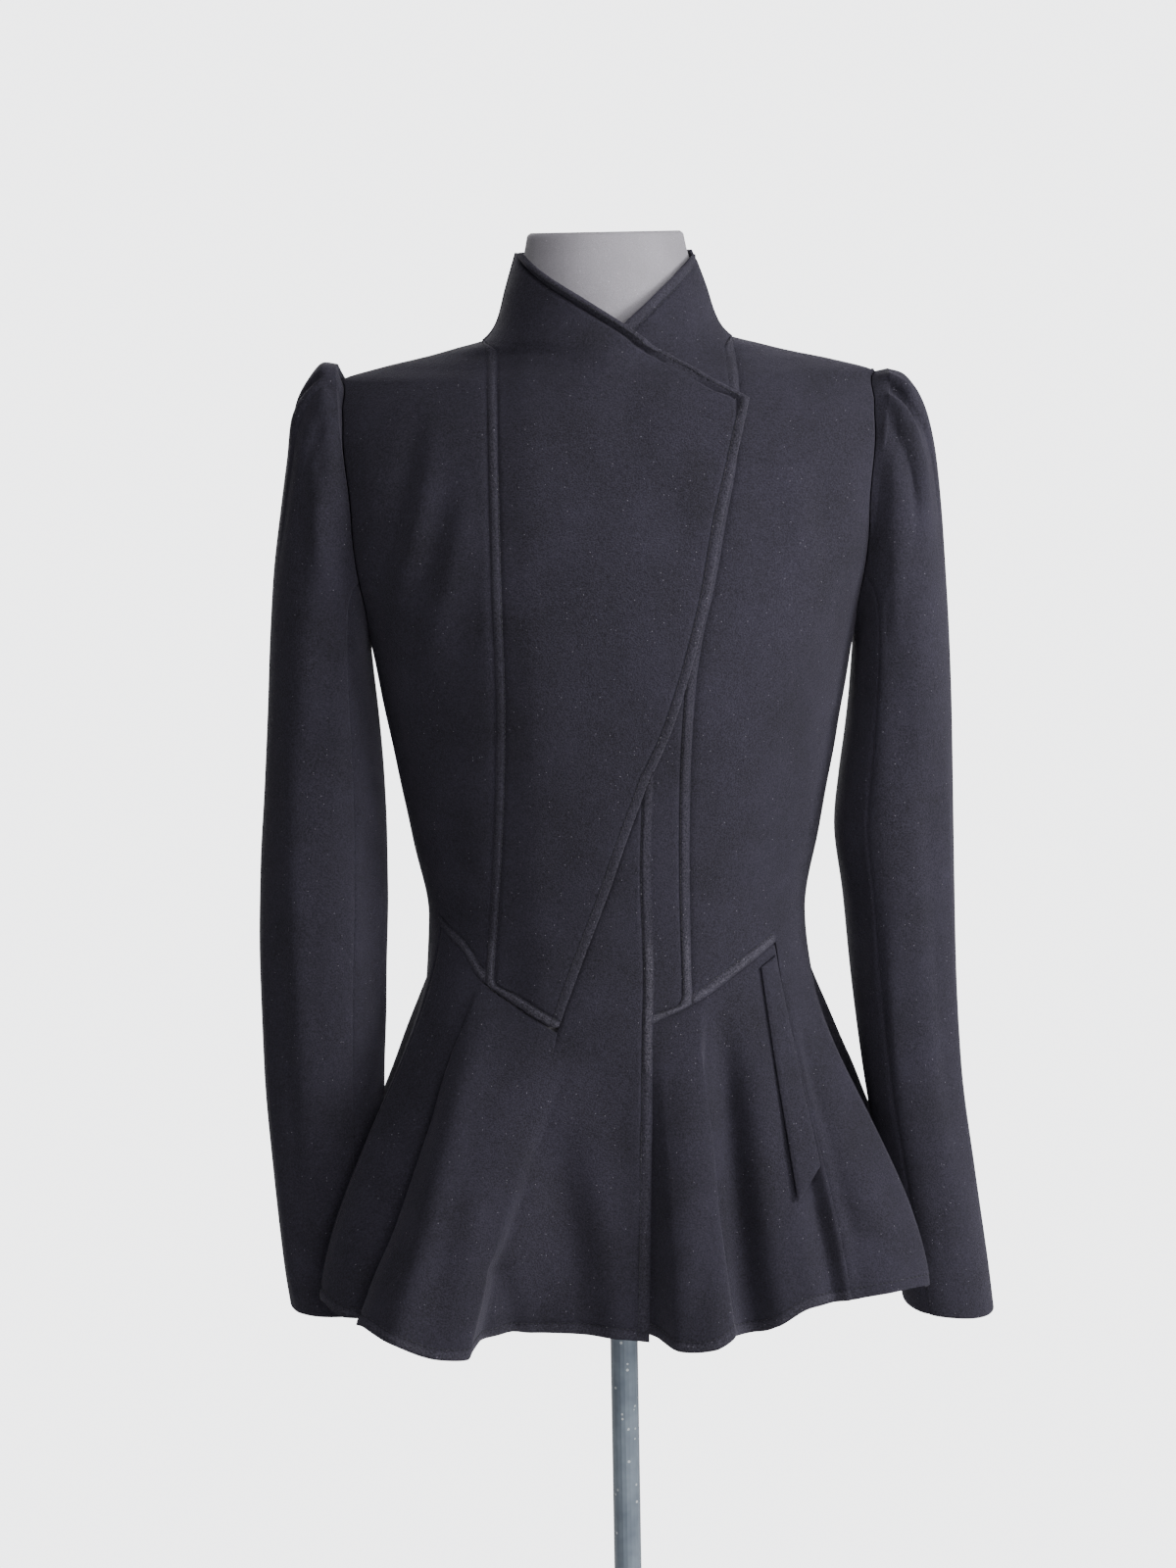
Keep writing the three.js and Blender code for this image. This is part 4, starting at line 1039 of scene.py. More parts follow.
@dataclass
class Coat:
    """The coat's cut pieces, each a wall of cloth in place of its solid."""

    wool: bpy.types.Material
    thread: bpy.types.Material
    stitching: Stitching = field(default_factory=Stitching)

    def piece(self, node: str, nets: Sequence[Net], rests_on: Sequence[str]) -> None:
        """Args:
            node: the solid that it stands in for.
            nets: its outer face, from the top down.
            rests_on: what it lies on; not used.
        """
        points, faces, wear = joined(nets)
        cloth = mesh_object(f"cloth_{node}", points, clean_faces(faces), self.wool, [node], wear)
        wall = cloth.modifiers.new("wall", "SOLIDIFY")
        wall.thickness = CLOTH * MM
        wall.offset = -1.0
        edge = cloth.modifiers.new("rounded edge", "BEVEL")
        edge.limit_method = "ANGLE"
        edge.angle_limit = math.radians(SHARP)
        edge.width = EDGE_ROUND * MM
        edge.segments = 2
        width = max(float(net.runs(1)[:, -1].max()) for net in nets) * MM
        length = sum(float(net.runs(0)[-1].max()) for net in nets) * MM
        area = sum(net.area() for net in nets)
        LOG.info("%s: cut from %.0f x %.0f mm, %.3f square metres", node, width / MM, length / MM, area)

    # ---- fronts
    @staticmethod
    def bodice_net(heights: Array, left: Edge, right: Edge, inner: int,
                   lift: Callable[[Array], Array] | None = None) -> Net:
        """A net on the bodice between two edges.

        Args:
            heights: the height of each row.
            left: the edge on the viewer's left.
            right: the edge on the viewer's right.
            inner: how many even steps lie between the bands beside the edges.
            lift: how far points stand off the bodice.

        Returns:
            The net.
        """
        a, b = left(heights), right(heights)
        ends = [Bodice.point(heights, edge) for edge in (a, b)]
        width = np.maximum(np.linalg.norm(ends[1] - ends[0], axis=-1), 0.8)
        shares = banded(width, inner, tuple(slant(end, ends[1] - ends[0]) for end in ends))
        angle = a[:, None] + (b - a)[:, None] * shares
        net = Net(Bodice.point(heights[:, None], angle))
        return net.pushed(lift(net.points)) if lift else net

    @staticmethod
    def lap_lift(points: Array) -> Array:
        """How far the overlapping front stands off: nothing at its princess seam, LAP beyond it."""
        return LAP * smooth((points[..., 0] - LAP_FROM) / LAP_RUN)

    @staticmethod
    def edge_x(edge: Table, side: int) -> Edge:
        """An edge as an angle for each height, half a seam to one side of its table."""
        return lambda z: Bodice.angle_at_x(z, edge.at("x", z) + side * SEAM / 2)

    def sewn_edge(self, side: Side) -> Edge:
        """The sewn edge of a centre front: the collar's side seam, princess seam and waist seam.

        Args:
            side: the side of the centre front.

        Returns:
            The edge.
        """
        sign = side.value
        princess_foot = PRINCESS[side].columns["x"][-1]

        def edge(z: Array) -> Array:
            """The edge as an angle for each height.

            Args:
                z: the heights.

            Returns:
                The angles.
            """
            collar = sign * Bodice.angle_at_y(z, np.full_like(z, -SEAM / 2))
            princess = self.edge_x(PRINCESS[side], -sign)(z)
            waist = Bodice.angle_at_x(z, WAIST[side].at("x", z, key="z") - sign * SEAM)
            seam = np.where(z < WAIST[side].at("z", princess_foot, key="x"), waist, princess)
            return np.where(z > SHOULDER_NECK, collar, seam)
        return edge

    def front_centre_right(self) -> None:
        """The overlapping front with its collar: princess seam, waist seam, lapel and diagonal seam."""
        def right(z: Array) -> Array:
            """Its free edge: collar, lapel and diagonal seam.

            Args:
                z: the heights.

            Returns:
                The angles.
            """
            collar, lapel = self.edge_x(LAP_EDGE, 0)(z), self.edge_x(LAPEL_EDGE, 0)(z)
            diagonal = self.edge_x(DIAGONAL_SEAM, -1)(z)
            return np.where(z > LAPEL_CORNER, collar, np.where(z > WEDGE_TOP, lapel, diagonal))

        heights = steps((COLLAR_TOP_RIGHT, LAPEL_CORNER + 0.3, 64), (LAPEL_CORNER - 0.1, WEDGE_TOP + 0.2, 90),
                        (WEDGE_TOP - 0.2, 985, 50), (983, 940, 40))
        net = self.bodice_net(heights, self.sewn_edge(Side.RIGHT), right, 26, self.lap_lift)
        height = net.points[:, -1:, 2]
        roll = SEAM_ROLL + (FLAT_ROLL - SEAM_ROLL) * smooth((height - WEDGE_TOP + 10) / 20)
        roll = roll + (1 - FLAT_ROLL) * smooth((height - LAPEL_CORNER + 12) / 14)
        roll = roll * smooth((COLLAR_TOP_RIGHT - 1 - height) / 9)
        net = finished(net, sewn=("left",), stitched=("left",), rolled=("right",), roll=roll)
        self.piece("front_centre_right", [net], ["dress_form"])
        self.stitching.add(net.line("left", STITCH_INSET, (0.33, 0.99)))
        self.stitching.add(net.line("right", ROLL_INSET, (0.03, 0.26)))
        self.stitching.add(net.line("right", ROLL_INSET, (0.265, 0.985)))

    def front_centre_left(self) -> None:
        """The front beneath, with its own collar."""
        heights = steps((COLLAR_TOP_LEFT, 1375, 50), (1374, 960, 120), (958, 925, 24))
        net = self.bodice_net(heights, self.edge_x(UNDER_EDGE, 0), self.sewn_edge(Side.LEFT), 20)
        net = finished(net, sewn=("right",), stitched=("left", "right"))
        self.piece("front_centre_left", [net], ["dress_form"])
        self.stitching.add(net.line("left", STITCH_INSET, (0.03, 0.24)))
        self.stitching.add(net.line("right", STITCH_INSET, (0.3, 0.99)))

    # ---- sides of the front
    @staticmethod
    def side_front_foot(side: Side, inner: Edge, outer: Edge) -> tuple[Array, Array, Array]:
        """Where the columns of a side front stand on its foot.

        The foot follows the slanted waist seam as far as the pocket seam, in SEAM_COLUMNS columns, and
        runs beyond it to the side seam's waist by an S curve.

        Args:
            side: the wearer's side.
            inner: the princess seam.
            outer: the armhole and side seam.

        Returns:
            Each column's share across the piece higher up, and its height and its angle at the foot.
        """
        half_seam = side.value * SEAM / 2
        start, pocket_x = float(PRINCESS[side].at("x", SIDE_LOW)), POCKET_X[side]
        x = np.linspace(start + half_seam, pocket_x + half_seam, SEAM_COLUMNS + 1)
        z = WAIST[side].at("z", x, key="x") + SEAM / 2
        angle = Bodice.angle_at_x(z, x)
        beyond = np.linspace(0, 1, SIDE_COLUMNS)
        beyond_z = z[-1] + (SIDE_WAIST - z[-1]) * smooth(beyond)
        beyond_angle = angle[-1] + (float(outer(np.array(SIDE_WAIST))) - angle[-1]) * beyond
        low_inner, low_outer = (float(edge(np.array(SIDE_LOW))) for edge in (inner, outer))
        pocket = (angle[-1] - low_inner) / (low_outer - low_inner)
        before = np.linspace(0, pocket, SEAM_COLUMNS + 1)[:-1]
        shares = np.concatenate([before, pocket + (1 - pocket) * beyond])
        return shares, np.concatenate([z[:-1], beyond_z]), np.concatenate([angle[:-1], beyond_angle])

    def front_side(self, side: Side) -> None:
        """A side front, cut in one from shoulder to hem.

        It runs from the princess seam to the armhole and side seam. Below LEAN_FROM its rows lean over
        to its foot, and beyond the pocket seam it runs on into the skirt.

        Args:
            side: the wearer's side.
        """
        inner = self.edge_x(PRINCESS[side], side.value)

        def outer(z: Array) -> Array:
            """The armhole and side seam as an angle for each height."""
            return side.value * Bodice.angle_at_y(z, -armhole_depth(z, ARM_FRONT) - SEAM / 2)

        shares, foot_z, foot_angle = self.side_front_foot(side, inner, outer)
        heights = torso_heights(LEAN_FROM, 36)
        angle = inner(heights)[:, None] + (outer(heights) - inner(heights))[:, None] * shares
        down = np.linspace(0, 1, 34)[1:, None]
        low_z = LEAN_FROM + (foot_z - LEAN_FROM) * down
        low_angle = inner(low_z) + (outer(low_z) - inner(low_z)) * shares
        lean = smooth((down - 0.5) / 0.5)
        low = Bodice.point(low_z, low_angle * (1 - lean) + foot_angle * lean)
        bodice = np.concatenate([Bodice.point(heights[:, None], angle), low])
        across = np.linspace(0, 1, SIDE_COLUMNS)
        on_seam = (np.arange(len(shares)) < SEAM_COLUMNS).astype(float)
        span = (0.0, SEAM_COLUMNS / len(shares))
        if side is Side.RIGHT:
            across = 1 - across
        skirt = skirt_points(bodice[-1, SEAM_COLUMNS:], across, HEM_SIDE[side], 70)
        if side is Side.RIGHT:
            bodice, skirt, on_seam, span = bodice[:, ::-1], skirt[:, ::-1], on_seam[::-1], (1 - span[1], 1.0)
        upper = finished(Net(bodice), sewn=("left", "right"), stitched=("bottom",), foot=on_seam[None, :])
        lower = match_rows(upper, finished(Net(skirt), sewn=("left", "right")), side is Side.LEFT)
        self.piece(f"front_side_{side.word}", [upper, lower], ["dress_form"])
        self.stitching.add(upper.line("bottom", STITCH_INSET, span))
        self.hem_stitches(lower)

    def hem_stitches(self, net: Net) -> None:
        """Stitches the turned-up hem of a skirt net."""
        self.stitching.add(net.line("bottom", STITCH_INSET, (0.02, 0.98)))

    # ---- back
    def back_piece(self, side: Side, centre: bool) -> None:
        """A back piece, cut in one from shoulder to hem, made on the left and mirrored for the right.

        Args:
            side: the wearer's side.
            centre: whether it is the centre back or the side back.
        """
        def princess(gap: int) -> Edge:
            """The back princess seam as an angle for each height, half a seam to one side."""
            return lambda z: Bodice.angle_at_x(z, BACK_PRINCESS.at("x", z) + gap * SEAM / 2, behind=True)

        def armhole(z: Array) -> Array:
            """The armhole and side seam as an angle for each height."""
            return Bodice.angle_at_y(z, armhole_depth(z, ARM_BACK) + SEAM / 2)

        def middle(z: Array) -> Array:
            """The centre back seam as an angle for each height."""
            return Bodice.angle_at_x(z, np.full_like(z, SEAM / 2), behind=True)

        inner, outer = (princess(-1), middle) if centre else (armhole, princess(1))
        heights = torso_heights(SIDE_WAIST, 46)
        shares = np.linspace(0, 1, 62)
        angle = inner(heights)[:, None] + (outer(heights) - inner(heights))[:, None] * shares
        bodice = Bodice.point(heights[:, None], angle)
        hem = HEM_BACK_CENTRE if centre else HEM_BACK_SIDE[side]
        skirt = skirt_points(bodice[-1], shares, hem, 60)
        net = Net(np.concatenate([bodice, skirt[1:]]))
        if centre:
            net.points[..., 0] = np.maximum(net.points[..., 0], SEAM / 2)
        if side is Side.RIGHT:
            net = net.mirrored()
        net = finished(net, sewn=("left", "right"))
        self.piece(f"back_{'centre' if centre else 'side'}_{side.word}", [net], ["dress_form"])
        self.hem_stitches(net)

    def collar_back(self) -> None:
        """The back of the standing collar, between the two fronts."""
        heights = np.linspace(COLLAR_TOP_BACK, SHOULDER_NECK + SEAM, 40)
        start = Bodice.angle_at_y(heights, np.full_like(heights, SEAM / 2))
        angle = start[:, None] + (360 - 2 * start)[:, None] * np.linspace(0, 1, 90)
        net = finished(Net(Bodice.point(heights[:, None], angle)), sewn=("left", "right", "bottom"))
        self.piece("collar_back", [net], ["dress_form"])
        self.stitching.add(net.line("top", STITCH_INSET))

    # ---- front skirt
    def skirt_front_right(self) -> None:
        """The front skirt with its wedge, which tapers up between diagonal seam and closing edge."""
        foot = WAIST[Side.RIGHT].columns["z"][-1] + 1
        heights = steps((WEDGE_TOP - 1, 1100, 12), (1098, foot, 70))
        tip = Bodice.angle_at_x(heights, CLOSING_EDGE.at("x", heights) - WEDGE_TIP)
        a = np.where(heights > WEDGE_TOP - 2, tip, self.edge_x(DIAGONAL_SEAM, 1)(heights))
        b = self.edge_x(CLOSING_EDGE, 0)(heights)
        shares = banded(np.linspace(*WEDGE_WIDTHS, len(heights)), 33)
        wedge = Net(Bodice.point(heights[:, None], a[:, None] + (b - a)[:, None] * shares))
        wedge = wedge.pushed(self.lap_lift(wedge.points))
        corner = wedge.points[-1, 0]
        pocket = POCKET_X[Side.RIGHT] + SEAM
        x = np.concatenate([steps((pocket, PLEAT_X, 50))[:-1], steps((PLEAT_X, corner[0], 84))[:-1]])
        z = WAIST[Side.RIGHT].at("z", x, key="x") - SEAM
        seam_row = Bodice.point(z, Bodice.angle_at_x(z, x))
        seam_row[:, 1] -= self.lap_lift(seam_row)
        waist_row = np.concatenate([seam_row, wedge.points[-1]])
        across = (waist_row[:, 0] - pocket) / (waist_row[-1, 0] - pocket)
        skirt = Net(skirt_points(waist_row, across, HEM_FRONT[Side.RIGHT], 104, HEM_TUCK))
        upper = finished(wedge, sewn=("left",), stitched=("right",))
        lower = finished(skirt, sewn=("left",), stitched=("right", "bottom"))
        lower = match_rows(upper, lower, True)
        self.piece("skirt_front_right", [upper, lower], ["cloth_front_centre_left"])
        self.stitching.add(upper.line("right", STITCH_INSET, (0.16, 1.0)))
        self.stitching.add(lower.line("right", STITCH_INSET))
        self.hem_stitches(lower)

    def skirt_front_left(self) -> None:
        """The wearer's left front skirt with its deep pleats, and the pocket's welt on it."""
        across = np.linspace(0, 1, 180)
        start = WAIST[Side.LEFT].columns["x"][0]
        x = start + across * (POCKET_X[Side.LEFT] - SEAM - start)
        z = WAIST[Side.LEFT].at("z", x, key="x") - SEAM
        waist_row = Bodice.point(z, Bodice.angle_at_x(z, x))
        net = Net(skirt_points(waist_row, across, HEM_FRONT[Side.LEFT], 96, slide=HEM_SLIDE))
        lower = finished(net, sewn=("right", "top"), stitched=("bottom",))
        self.piece("skirt_front_left", [lower], ["cloth_front_side_left"])
        self.hem_stitches(lower)
        self.pocket_welt(net)

    def pocket_welt(self, skirt: Net) -> None:
        """The welt: a narrow folded strip that stands proud of the skirt beside the pocket seam.

        Its rows run from one share of the way down to another, which falls from the inner edge to the
        outer, so that it ends in a slant.

        Args:
            skirt: the front skirt that it lies on.
        """
        rows, columns = skirt.points.shape[:2]
        share = np.linspace(0, 1, 80)[:, None]
        column = np.linspace(0, 1, 18)[None, :]
        foot = WELT.to_inner + (WELT.to_outer - WELT.to_inner) * column
        down = (WELT.start + (foot - WELT.start) * share) * (rows - 1)
        aside = (WELT.inner + (WELT.outer - WELT.inner) * column) * (columns - 1)
        down, aside = np.broadcast_arrays(down, aside)
        i, j = down.astype(int), aside.astype(int)
        s, t = (down - i)[..., None], (aside - j)[..., None]
        p = skirt.points
        above, below = p[i, j] * (1 - t) + p[i, j + 1] * t, p[i + 1, j] * (1 - t) + p[i + 1, j + 1] * t
        net = Net(above * (1 - s) + below * s)
        edge = np.minimum(net.distance("left"), net.distance("right"))
        ends = np.minimum(net.distance("top"), net.distance("bottom"))
        rise = WELT.proud + WELT.swell * smooth(edge / 3) * smooth(ends / 3)
        self.piece("pocket_welt_left", [net.pushed(rise)], ["cloth_skirt_front_left"])

    # ---- sleeves
    def sleeve(self, side: Side, upper: bool) -> None:
        """Half of a two-piece sleeve, made on the left and mirrored for the right.

        Args:
            side: the wearer's side.
            upper: whether it is the upper or the under sleeve.
        """
        start, end = SLEEVE_FRONT_SEAM, SLEEVE_BACK_SEAM
        if not upper:
            start, end = 360 + end, start
        slack = math.degrees(SEAM / 2 / SLEEVE_RADIUS)
        turns = np.linspace(start - slack, end + slack, 124 if upper else 72)
        rings = steps((0, 6, 64), (6.1, 16, 88))
        points = Sleeve(side).points(rings[:, None], turns[None, :])
        net, out = Net(points), Sleeve(side).creases(rings[:, None], turns[None, :])
        if side is Side.RIGHT:
            net, out = net.mirrored(), out[:, ::-1]
        for edge in ("left", "right"):
            distance = net.distance(edge)
            out = out * smooth(distance / 8) - SLEEVE_TURN_IN * np.exp(-distance / TURN_WIDTH)
        out = out * smooth(net.distance("top") / 4)
        net = net.pushed(out)
        for end, inner in ((0, 1), (-1, -2)):
            net.points[:, end] += unit(net.points[:, end] - net.points[:, inner]) * RUN_UNDER
        half = "upper" if upper else "under"
        self.piece(f"sleeve_{half}_{side.word}", [net], [f"cloth_front_side_{side.word}"])

    def build(self) -> None:
        """Makes every piece, then the stitching."""
        self.front_centre_left()
        self.front_centre_right()
        for side in Side:
            self.front_side(side)
            self.back_piece(side, centre=False)
            self.back_piece(side, centre=True)
        self.collar_back()
        self.skirt_front_left()
        self.skirt_front_right()
        for side in Side:
            for upper in (True, False):
                self.sleeve(side, upper)
        self.stitching.build(self.thread)
        LOG.info("topstitching: %d lines", len(self.stitching.lines))


# ------------------------------------------------------------------ shader helpers
class Nodes:
    """Adds and joins the nodes of one material or node group."""

    def __init__(self, tree: bpy.types.NodeTree) -> None:
        """Keeps the tree."""
        self.tree = tree

    def feed(self, node: bpy.types.Node, inputs: dict[str | int, object]) -> None:
        """Links a node's inputs, by name or number, to the sockets given, and sets the others.

        Args:
            node: the node.
            inputs: sockets or plain values, by the name or number of the input.
        """
        for key, value in inputs.items():
            if isinstance(value, bpy.types.NodeSocket):
                self.tree.links.new(value, node.inputs[key])
            else:
                node.inputs[key].default_value = value

    def add(self, kind: str, settings: dict[str, object] | None = None, **inputs: object) -> bpy.types.Node:
        """Adds a node, sets its properties and feeds its inputs, whose spaces are underscores here.

        Args:
            kind: the node's type.
            settings: properties to set.
            inputs: sockets or plain values, by name.

        Returns:
            The node.
        """
        node = self.tree.nodes.new(kind)
        for name, value in (settings or {}).items():
            setattr(node, name, value)
        self.feed(node, {name.replace("_", " "): value for name, value in inputs.items()})
        return node

    def ramp(self, value: bpy.types.NodeSocket, low: float, high: float) -> bpy.types.NodeSocket:
        """Maps a value from low..high onto 0..1, held at the ends."""
        node = self.add("ShaderNodeMapRange", Value=value, From_Min=low, From_Max=high)
        return node.outputs["Result"]

    def times(self, a: object, b: object) -> bpy.types.NodeSocket:
        """The product of two values."""
        return self.math("MULTIPLY", a, b)

    def math(self, operation: str, a: object, b: object) -> bpy.types.NodeSocket:
        """One arithmetic step on two values or sockets.

        Args:
            operation: the step's name.
            a: the first value.
            b: the second value.

        Returns:
            The result.
        """
        node = self.add("ShaderNodeMath", {"operation": operation})
        self.feed(node, {0: a, 1: b})
        return node.outputs[0]

    def mix(self, factor: object, a: object, b: object) -> bpy.types.NodeSocket:
        """A mix of two colours.

        Args:
            factor: the share of the second.
            a: the first colour.
            b: the second colour.

        Returns:
            The mixed colour.
        """
        node = self.add("ShaderNodeMix", {"data_type": "RGBA"})
        self.feed(node, {0: factor, 6: a, 7: b})
        return node.outputs[2]


Sockets = dict[str, bpy.types.NodeSocket]


def group(name: str, inputs: dict[str, float], outputs: Sequence[str],
          fill: Callable[[Nodes, Sockets], Sockets]) -> bpy.types.NodeTree:
    """A node group with a Vector input, named number inputs and named number outputs.

    Args:
        name: the group's name.
        inputs: its number inputs, and the value of each until it is set.
        outputs: its number outputs.
        fill: adds the nodes, given the input sockets, and returns what feeds each output.

    Returns:
        The group's tree.
    """
    tree = bpy.data.node_groups.new(name, "ShaderNodeTree")
    tree.interface.new_socket("Vector", in_out="INPUT", socket_type="NodeSocketVector")
    for label, value in inputs.items():
        tree.interface.new_socket(label, in_out="INPUT", socket_type="NodeSocketFloat").default_value = value
    for label in outputs:
        tree.interface.new_socket(label, in_out="OUTPUT", socket_type="NodeSocketFloat")
    source, sink = tree.nodes.new("NodeGroupInput"), tree.nodes.new("NodeGroupOutput")
    made = fill(Nodes(tree), {socket.name: socket for socket in source.outputs if socket.name})
    for label, socket in made.items():
        tree.links.new(socket, sink.inputs[label])
    return tree


def nap_group() -> bpy.types.NodeTree:
    """Short tangled fibres: Height for the bump, Cloud for the slow change of tone.

    Returns:
        The group's tree.
    """
    def fill(nodes: Nodes, given: Sockets) -> Sockets:
        """Two sizes of fibre noise for the height, the finer of them for tone, and a slow cloud.

        Args:
            nodes: the group's nodes.
            given: its inputs.

        Returns:
            What feeds its outputs.
        """
        def noise(scale: bpy.types.NodeSocket, detail: float, roughness: float) -> bpy.types.NodeSocket:
            """A noise at a scale."""
            return nodes.add("ShaderNodeTexNoise", Vector=given["Vector"], Scale=scale, Detail=detail,
                             Roughness=roughness).outputs[0]

        fine = noise(given["Fibre Scale"], 3.0, 0.65)
        felt = noise(nodes.times(given["Fibre Scale"], 0.28), 2.0, 0.5)
        cloud = noise(given["Cloud Scale"], 3.0, 0.6)
        height = nodes.math("ADD", nodes.times(fine, 0.6), nodes.times(felt, 0.4))
        return {"Height": height, "Cloud": nodes.ramp(cloud, 0.3, 0.7), "Fibre": nodes.ramp(fine, 0.35, 0.7)}
    return group("nap", {"Fibre Scale": 1400.0, "Cloud Scale": 22.0}, ("Height", "Cloud", "Fibre"), fill)


def speck_group() -> bpy.types.NodeTree:
    """Sparse specks, such as lint on cloth or chips in paint: Mask is 1 on a speck.

    Returns:
        The group's tree.
    """
    def fill(nodes: Nodes, given: Sockets) -> Sockets:
        """A speck fills the middle of a cell, in the share of the cells that are chosen by tone.

        Args:
            nodes: the group's nodes.
            given: its inputs.

        Returns:
            What feeds its outputs.
        """
        cells = nodes.add("ShaderNodeTexVoronoi", Vector=given["Vector"], Scale=given["Scale"])
        inside = nodes.math("LESS_THAN", cells.outputs["Distance"], given["Size"])
        tone = nodes.add("ShaderNodeSeparateColor", Color=cells.outputs["Color"])
        chosen = nodes.math("LESS_THAN", tone.outputs[0], given["Share"])
        return {"Mask": nodes.times(inside, chosen)}
    return group("specks", {"Scale": 260.0, "Size": 0.12, "Share": 0.1}, ("Mask",), fill)


def place_group(nodes: Nodes, tree: bpy.types.NodeTree, **inputs: object) -> bpy.types.Node:
    """Puts a node group into a material with its own values."""
    return nodes.add("ShaderNodeGroup", {"node_tree": tree}, **inputs)


Colour = tuple[float, float, float, float]


@dataclass(frozen=True)
class Finish:
    """What cloth and paint share: a dark and a light tone, how rough it is, and a material of its own."""

    name: str
    dark: Colour
    light: Colour
    speck: Colour  # of lint or bare metal
    speck_share: float  # of the places where a speck may lie
    roughness: float

    def begin(self) -> tuple[bpy.types.Material, Nodes, bpy.types.Node, bpy.types.NodeSocket]:
        """Makes the material, without its look.

        Returns:
            The material, its nodes, its shader and the object's coordinates.
        """
        material = bpy.data.materials.new(self.name)
        material.use_nodes = True
        nodes = Nodes(material.node_tree)
        at = nodes.add("ShaderNodeTexCoord").outputs["Object"]
        return material, nodes, material.node_tree.nodes["Principled BSDF"], at

    def rough(self, nodes: Nodes, cloud: bpy.types.NodeSocket, less: float,
              more: float) -> bpy.types.NodeSocket:
        """The roughness, up to a little less or more of it by cloud."""
        low, high = self.roughness - less, min(1.0, self.roughness + more)
        return nodes.add("ShaderNodeMapRange", Value=cloud, To_Min=low, To_Max=high).outputs[0]


@dataclass(frozen=True)
class ClothFinish(Finish):
    """A napped or knitted cloth: two tones, fibres, lint and sheen."""

    fibre_scale: float
    bump: float
    sheen: float
    sheen_tint: Colour
    rubbing: float = 0.0  # how far the speck's colour shows where the nap is worn pale and where a highlight is painted on rolled edges

    def build(self, nap: bpy.types.NodeTree, specks: bpy.types.NodeTree) -> bpy.types.Material:
        """Makes the material: tone by cloud and fibre, specks of lint, pale worn strips and a painted
        highlight on rolled edges, a fine bump and a soft sheen.

        Args:
            nap: the group of fibres.
            specks: the group of specks.

        Returns:
            The material.
        """
        material, nodes, shader, at = self.begin()
        fibres = place_group(nodes, nap, Vector=at, Fibre_Scale=self.fibre_scale, Cloud_Scale=24.0)
        lint = place_group(nodes, specks, Vector=at, Scale=620.0, Size=0.16, Share=self.speck_share)
        # Worn pale strips and the painted highlight of rolled edges, from the piece's attribute.
        wear_and_highlight_mask = nodes.add("ShaderNodeAttribute", {"attribute_name": "wear"}).outputs["Fac"]
        fibre, cloud = fibres.outputs["Fibre"], fibres.outputs["Cloud"]
        tone = nodes.math("ADD", nodes.times(fibre, 0.7), nodes.times(cloud, 0.3))
        colour = nodes.mix(tone, self.dark, self.light)
        colour = nodes.mix(nodes.times(wear_and_highlight_mask, nodes.times(fibre, self.rubbing)), colour, self.speck)
        colour = nodes.mix(lint.outputs["Mask"], colour, self.speck)
        bump = nodes.add("ShaderNodeBump", Height=fibres.outputs["Height"], Strength=self.bump,
                         Distance=0.0009)
        nodes.feed(shader, {
            "Base Color": colour, "Normal": bump.outputs[0],
            "Roughness": self.rough(nodes, cloud, 0.06, 0.05),
            "Sheen Weight": self.sheen, "Sheen Roughness": 0.45, "Sheen Tint": self.sheen_tint,
            "Specular IOR Level": 0.18,
        })
        return material


@dataclass(frozen=True)
class PaintFinish(Finish):
    """Painted metal with a mottled tone, fine orange peel and worn flecks."""

    def build(self, nap: bpy.types.NodeTree, specks: bpy.types.NodeTree) -> bpy.types.Material:
        """Makes the material: tone by cloud, flecks where the paint has chipped, and a slight peel.

        Args:
            nap: the group of fibres, here as peel.
            specks: the group of specks.

        Returns:
            The material.
        """
        material, nodes, shader, at = self.begin()
        grain = place_group(nodes, nap, Vector=at, Fibre_Scale=420.0, Cloud_Scale=38.0)
        fleck = place_group(nodes, specks, Vector=at, Scale=210.0, Size=0.22, Share=self.speck_share)
        cloud = grain.outputs["Cloud"]
        colour = nodes.mix(fleck.outputs["Mask"], nodes.mix(cloud, self.dark, self.light), self.speck)
        bump = nodes.add("ShaderNodeBump", Height=grain.outputs["Height"], Strength=0.18, Distance=0.0004)
        nodes.feed(shader, {
            "Base Color": colour, "Normal": bump.outputs[0], "Roughness": self.rough(nodes, cloud, 0.08, 0.1),
            "Coat Weight": 0.15, "Metallic": 0.25,
        })
        return material


WOOL = ClothFinish(
    name="black wool", dark=(0.0034, 0.0030, 0.0050, 1), light=(0.0240, 0.0217, 0.0332, 1),
    speck=(0.15, 0.142, 0.17, 1), speck_share=0.035, roughness=0.93, fibre_scale=950.0, bump=1.0,
    sheen=0.05, sheen_tint=(0.82, 0.76, 1.0, 1), rubbing=0.16,
)
THREAD = ClothFinish(
    name="sewing thread", dark=(0.0050, 0.0048, 0.0062, 1), light=(0.016, 0.0152, 0.020, 1),
    speck=(0.20, 0.20, 0.22, 1), speck_share=0.10, roughness=0.62, fibre_scale=2600.0, bump=0.4,
    sheen=0.06, sheen_tint=(0.85, 0.85, 1.0, 1),
)
JERSEY = ClothFinish(
    name="grey jersey", dark=(0.150, 0.143, 0.158, 1), light=(0.245, 0.234, 0.258, 1),
    speck=(0.40, 0.39, 0.41, 1), speck_share=0.04, roughness=0.92, fibre_scale=1900.0, bump=0.5,
    sheen=0.12, sheen_tint=(0.95, 0.94, 1.0, 1),
)
POLE_PAINT = PaintFinish(
    name="worn pole paint", dark=(0.068, 0.086, 0.112, 1), light=(0.135, 0.165, 0.198, 1),
    speck=(0.36, 0.38, 0.39, 1), speck_share=0.25, roughness=0.42,
)
